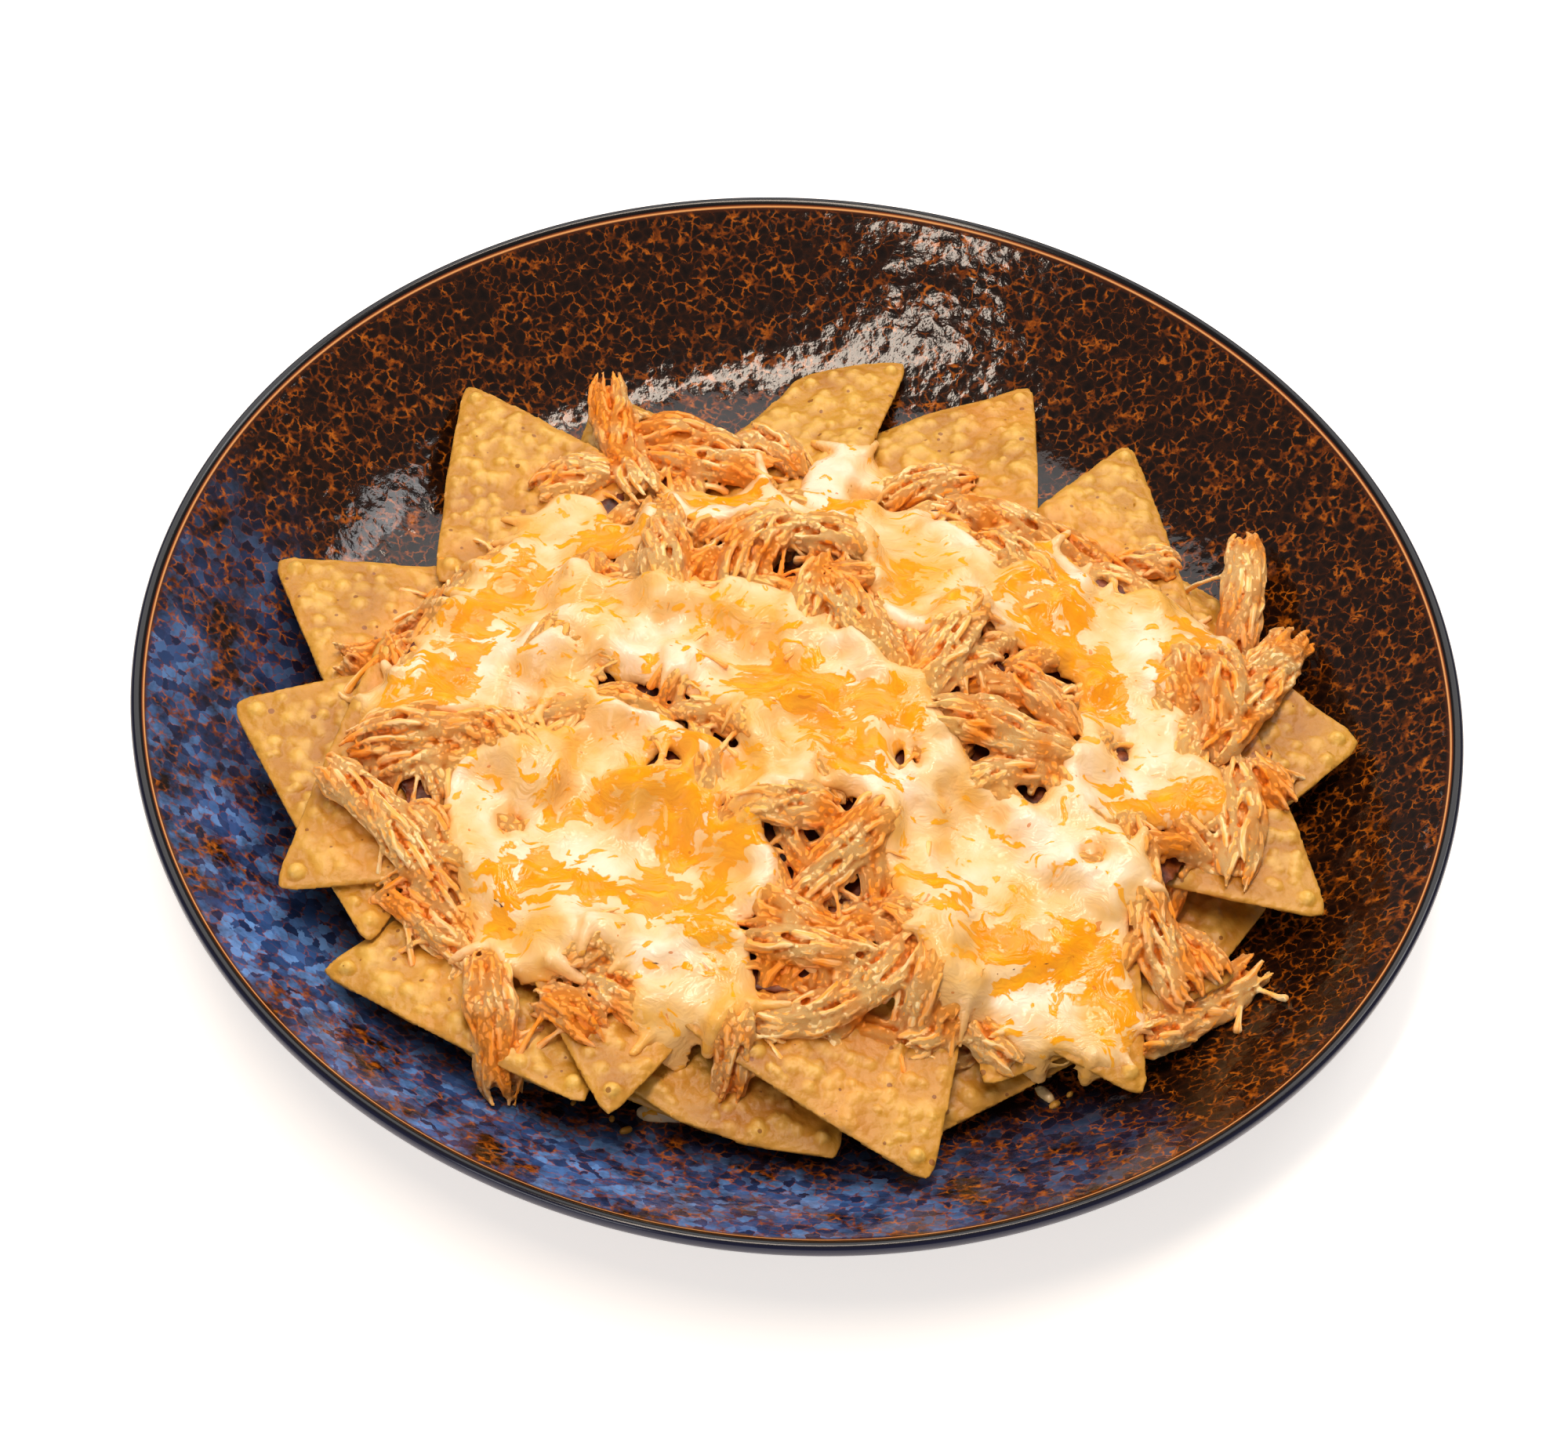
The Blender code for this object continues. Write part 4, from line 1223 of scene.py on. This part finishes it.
def lump(x, y, length, width, degrees, ground, dice):
    """A blob lying on what is under it, as a short line of points with their radius."""
    turn = math.radians(degrees)
    line = []
    for k in range(6):
        u = k / 5 - 0.5
        spot = (x + u * length * math.cos(turn), y + u * length * math.sin(turn))
        radius = width / 2 * (1 - 1.6 * u * u) * dice.uniform(0.85, 1.1)
        line.append((Vector((*spot, float(ground.at(*spot)) + radius * 0.25)), radius))
    return line


def make_spills(ground, melt):
    """The bits of cheese that ran onto the bowl."""
    dice = random.Random(3)
    piece = tube_mesh("cheese_spills", [lump(*row, ground, dice) for row in CHEESE_SPILLS])
    reskin(piece, CHEESE_VOXEL, 3)
    count = len(piece.data.vertices)
    paint(piece, "cheddar", np.full(count, -3.5))
    paint(piece, "cover", np.full(count, 2.0))
    return finish_piece(piece, melt, "cheese")


def make_crumbs(ground, corn):
    """The crumbs on the bowl's floor and wall."""
    dice = random.Random(4)
    lines = [lump(x, y, size, size * 0.8, dice.uniform(0, 180), ground, dice) for x, y, size in CRUMBS]
    return finish_piece(tube_mesh("crumbs", lines), corn, "tortilla")


def make_hidden_chips(corn):
    """The chips under the topping, lying flat in a loose stack in the middle of the bowl."""
    dice = random.Random(6)
    vertices, faces = [], []
    for layer in range(HIDDEN_CHIPS):
        turn, x, y = dice.uniform(0, math.tau), dice.uniform(-16, 16), dice.uniform(-16, 16)
        low = FLOOR_Z + 0.6 + layer * 2.4
        first = len(vertices)
        rounded = [k * math.tau / 36 for k in range(36)]
        outline = [(HIDDEN_CHIP_SIZE * (1 + 0.32 * math.cos(3 * a)), a + turn) for a in rounded]
        for z in (low, low + 1.8):
            vertices += [((x + r * math.cos(a)) * MM, (y + r * math.sin(a)) * MM, z * MM)
                         for r, a in outline]
        faces.append([first + k for k in range(35, -1, -1)])
        faces.append([first + 36 + k for k in range(36)])
        for k in range(36):
            after = (k + 1) % 36
            faces.append([first + k, first + after, first + 36 + after, first + 36 + k])
    piece = new_piece("hidden_chips", vertices, faces)
    return finish_piece(piece, corn, "tortilla", "chip_bed")


# ---- floor, light and camera ----

def area_light(name, place, target, size, power, colour="FFFFFF"):
    """A soft rectangular light in metres and watts, turned towards a target."""
    data = bpy.data.lights.new(name, "AREA")
    data.shape = "RECTANGLE"
    data.size, data.size_y = size
    data.energy = power
    data.color = linear(colour)[:3]
    lamp = bpy.data.objects.new(name, data)
    lamp.location = place
    lamp.rotation_euler = (Vector(target) - Vector(place)).to_track_quat("-Z", "Y").to_euler()
    bpy.context.scene.collection.objects.link(lamp)


def make_stage():
    """A plain white table, with a narrow softbox overhead, a wide one behind and two weaker ones."""
    bpy.ops.object.select_all(action="DESELECT")
    bpy.ops.mesh.primitive_plane_add(size=6.0, location=(0, 0, 0))
    floor = bpy.context.active_object
    floor.name = "floor"
    paper = new_material("white_paper", Roughness=0.9, Base_Color=linear("FAF4EE"),
                         Specular_IOR_Level=0.1, Emission_Color=linear("FFFFFF"),
                         Emission_Strength=FLOOR_GLOW)[0]
    floor.data.materials.append(paper)
    area_light("overhead_softbox", (-0.02, 0.01, 1.07), (0, 0, 0.02), (0.95, 0.13), 8.6, "FFEEDC")
    area_light("back_softbox", (-0.05, 0.78, 0.86), (0, 0, 0.02), (1.3, 0.8), 7.5)
    area_light("side_softbox", (0.55, 0.46, 0.95), (0, 0, 0.02), (0.3, 0.25), 1.6)
    area_light("front_softbox", (-0.6, -1.15, 0.55), (0, 0, 0.03), (0.6, 0.5), 4.0)
    world = bpy.data.worlds.new("studio")
    world.use_nodes = True
    sky = world.node_tree.nodes["Background"]
    sky.inputs["Color"].default_value = linear("FFF8F0")
    sky.inputs["Strength"].default_value = SKY_STRENGTH
    bpy.context.scene.world = world
    bpy.context.scene.view_settings.view_transform = "Standard"


def make_camera():
    """The camera, at its distance from the point it aims at, with a slight roll."""
    data = bpy.data.cameras.new("camera")
    data.lens = LENS
    data.sensor_width = SENSOR
    back = Vector((0, -math.cos(CAMERA_ELEVATION), math.sin(CAMERA_ELEVATION)))
    level = Vector((1, 0, 0))
    upright = back.cross(level)
    turn = Matrix.Rotation(CAMERA_ROLL, 3, back) @ Matrix((level, upright, back)).transposed()
    camera = bpy.data.objects.new("camera", data)
    camera.matrix_world = Matrix.Translation(CAMERA_AIM + back * CAMERA_DISTANCE) @ turn.to_4x4()
    bpy.context.scene.collection.objects.link(camera)
    bpy.context.scene.camera = camera


def heights_over(pieces):
    """The heights of several pieces together."""
    found = Heights()
    for piece in pieces:
        found.add(piece)
    return found


def main():
    """Everything in the order it is laid: bowl, chips, shreds, cheese, then the loose bits."""
    make_camera()
    make_stage()
    bowl = make_bowl(reactive_glaze())
    corn = fried_tortilla()
    names = sorted(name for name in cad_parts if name.startswith("chip_") and name != "chip_bed")
    chips = [make_chip(node, corn, seed) for seed, node in enumerate(names, start=1)]
    core = make_core(core_painted_as_shade())
    ground = heights_over([bowl, core] + chips)
    sink_core(core)
    inside = heights_over([bowl])
    bare = blurred(1.0 * (ground.z - inside.z < 1.0), 1.2)
    cover = cheese_cover(ground.x, ground.y) - 5 * bare
    shreds = make_chicken(ground, inside, lambda x, y: ground.at(x, y, cover), shredded_meat())
    melt = melted_cheese()
    make_cheese(heights_over([bowl, core] + chips + shreds), cover, melt)
    make_hidden_chips(corn)
    make_spills(inside, melt)
    make_crumbs(inside, corn)


main()
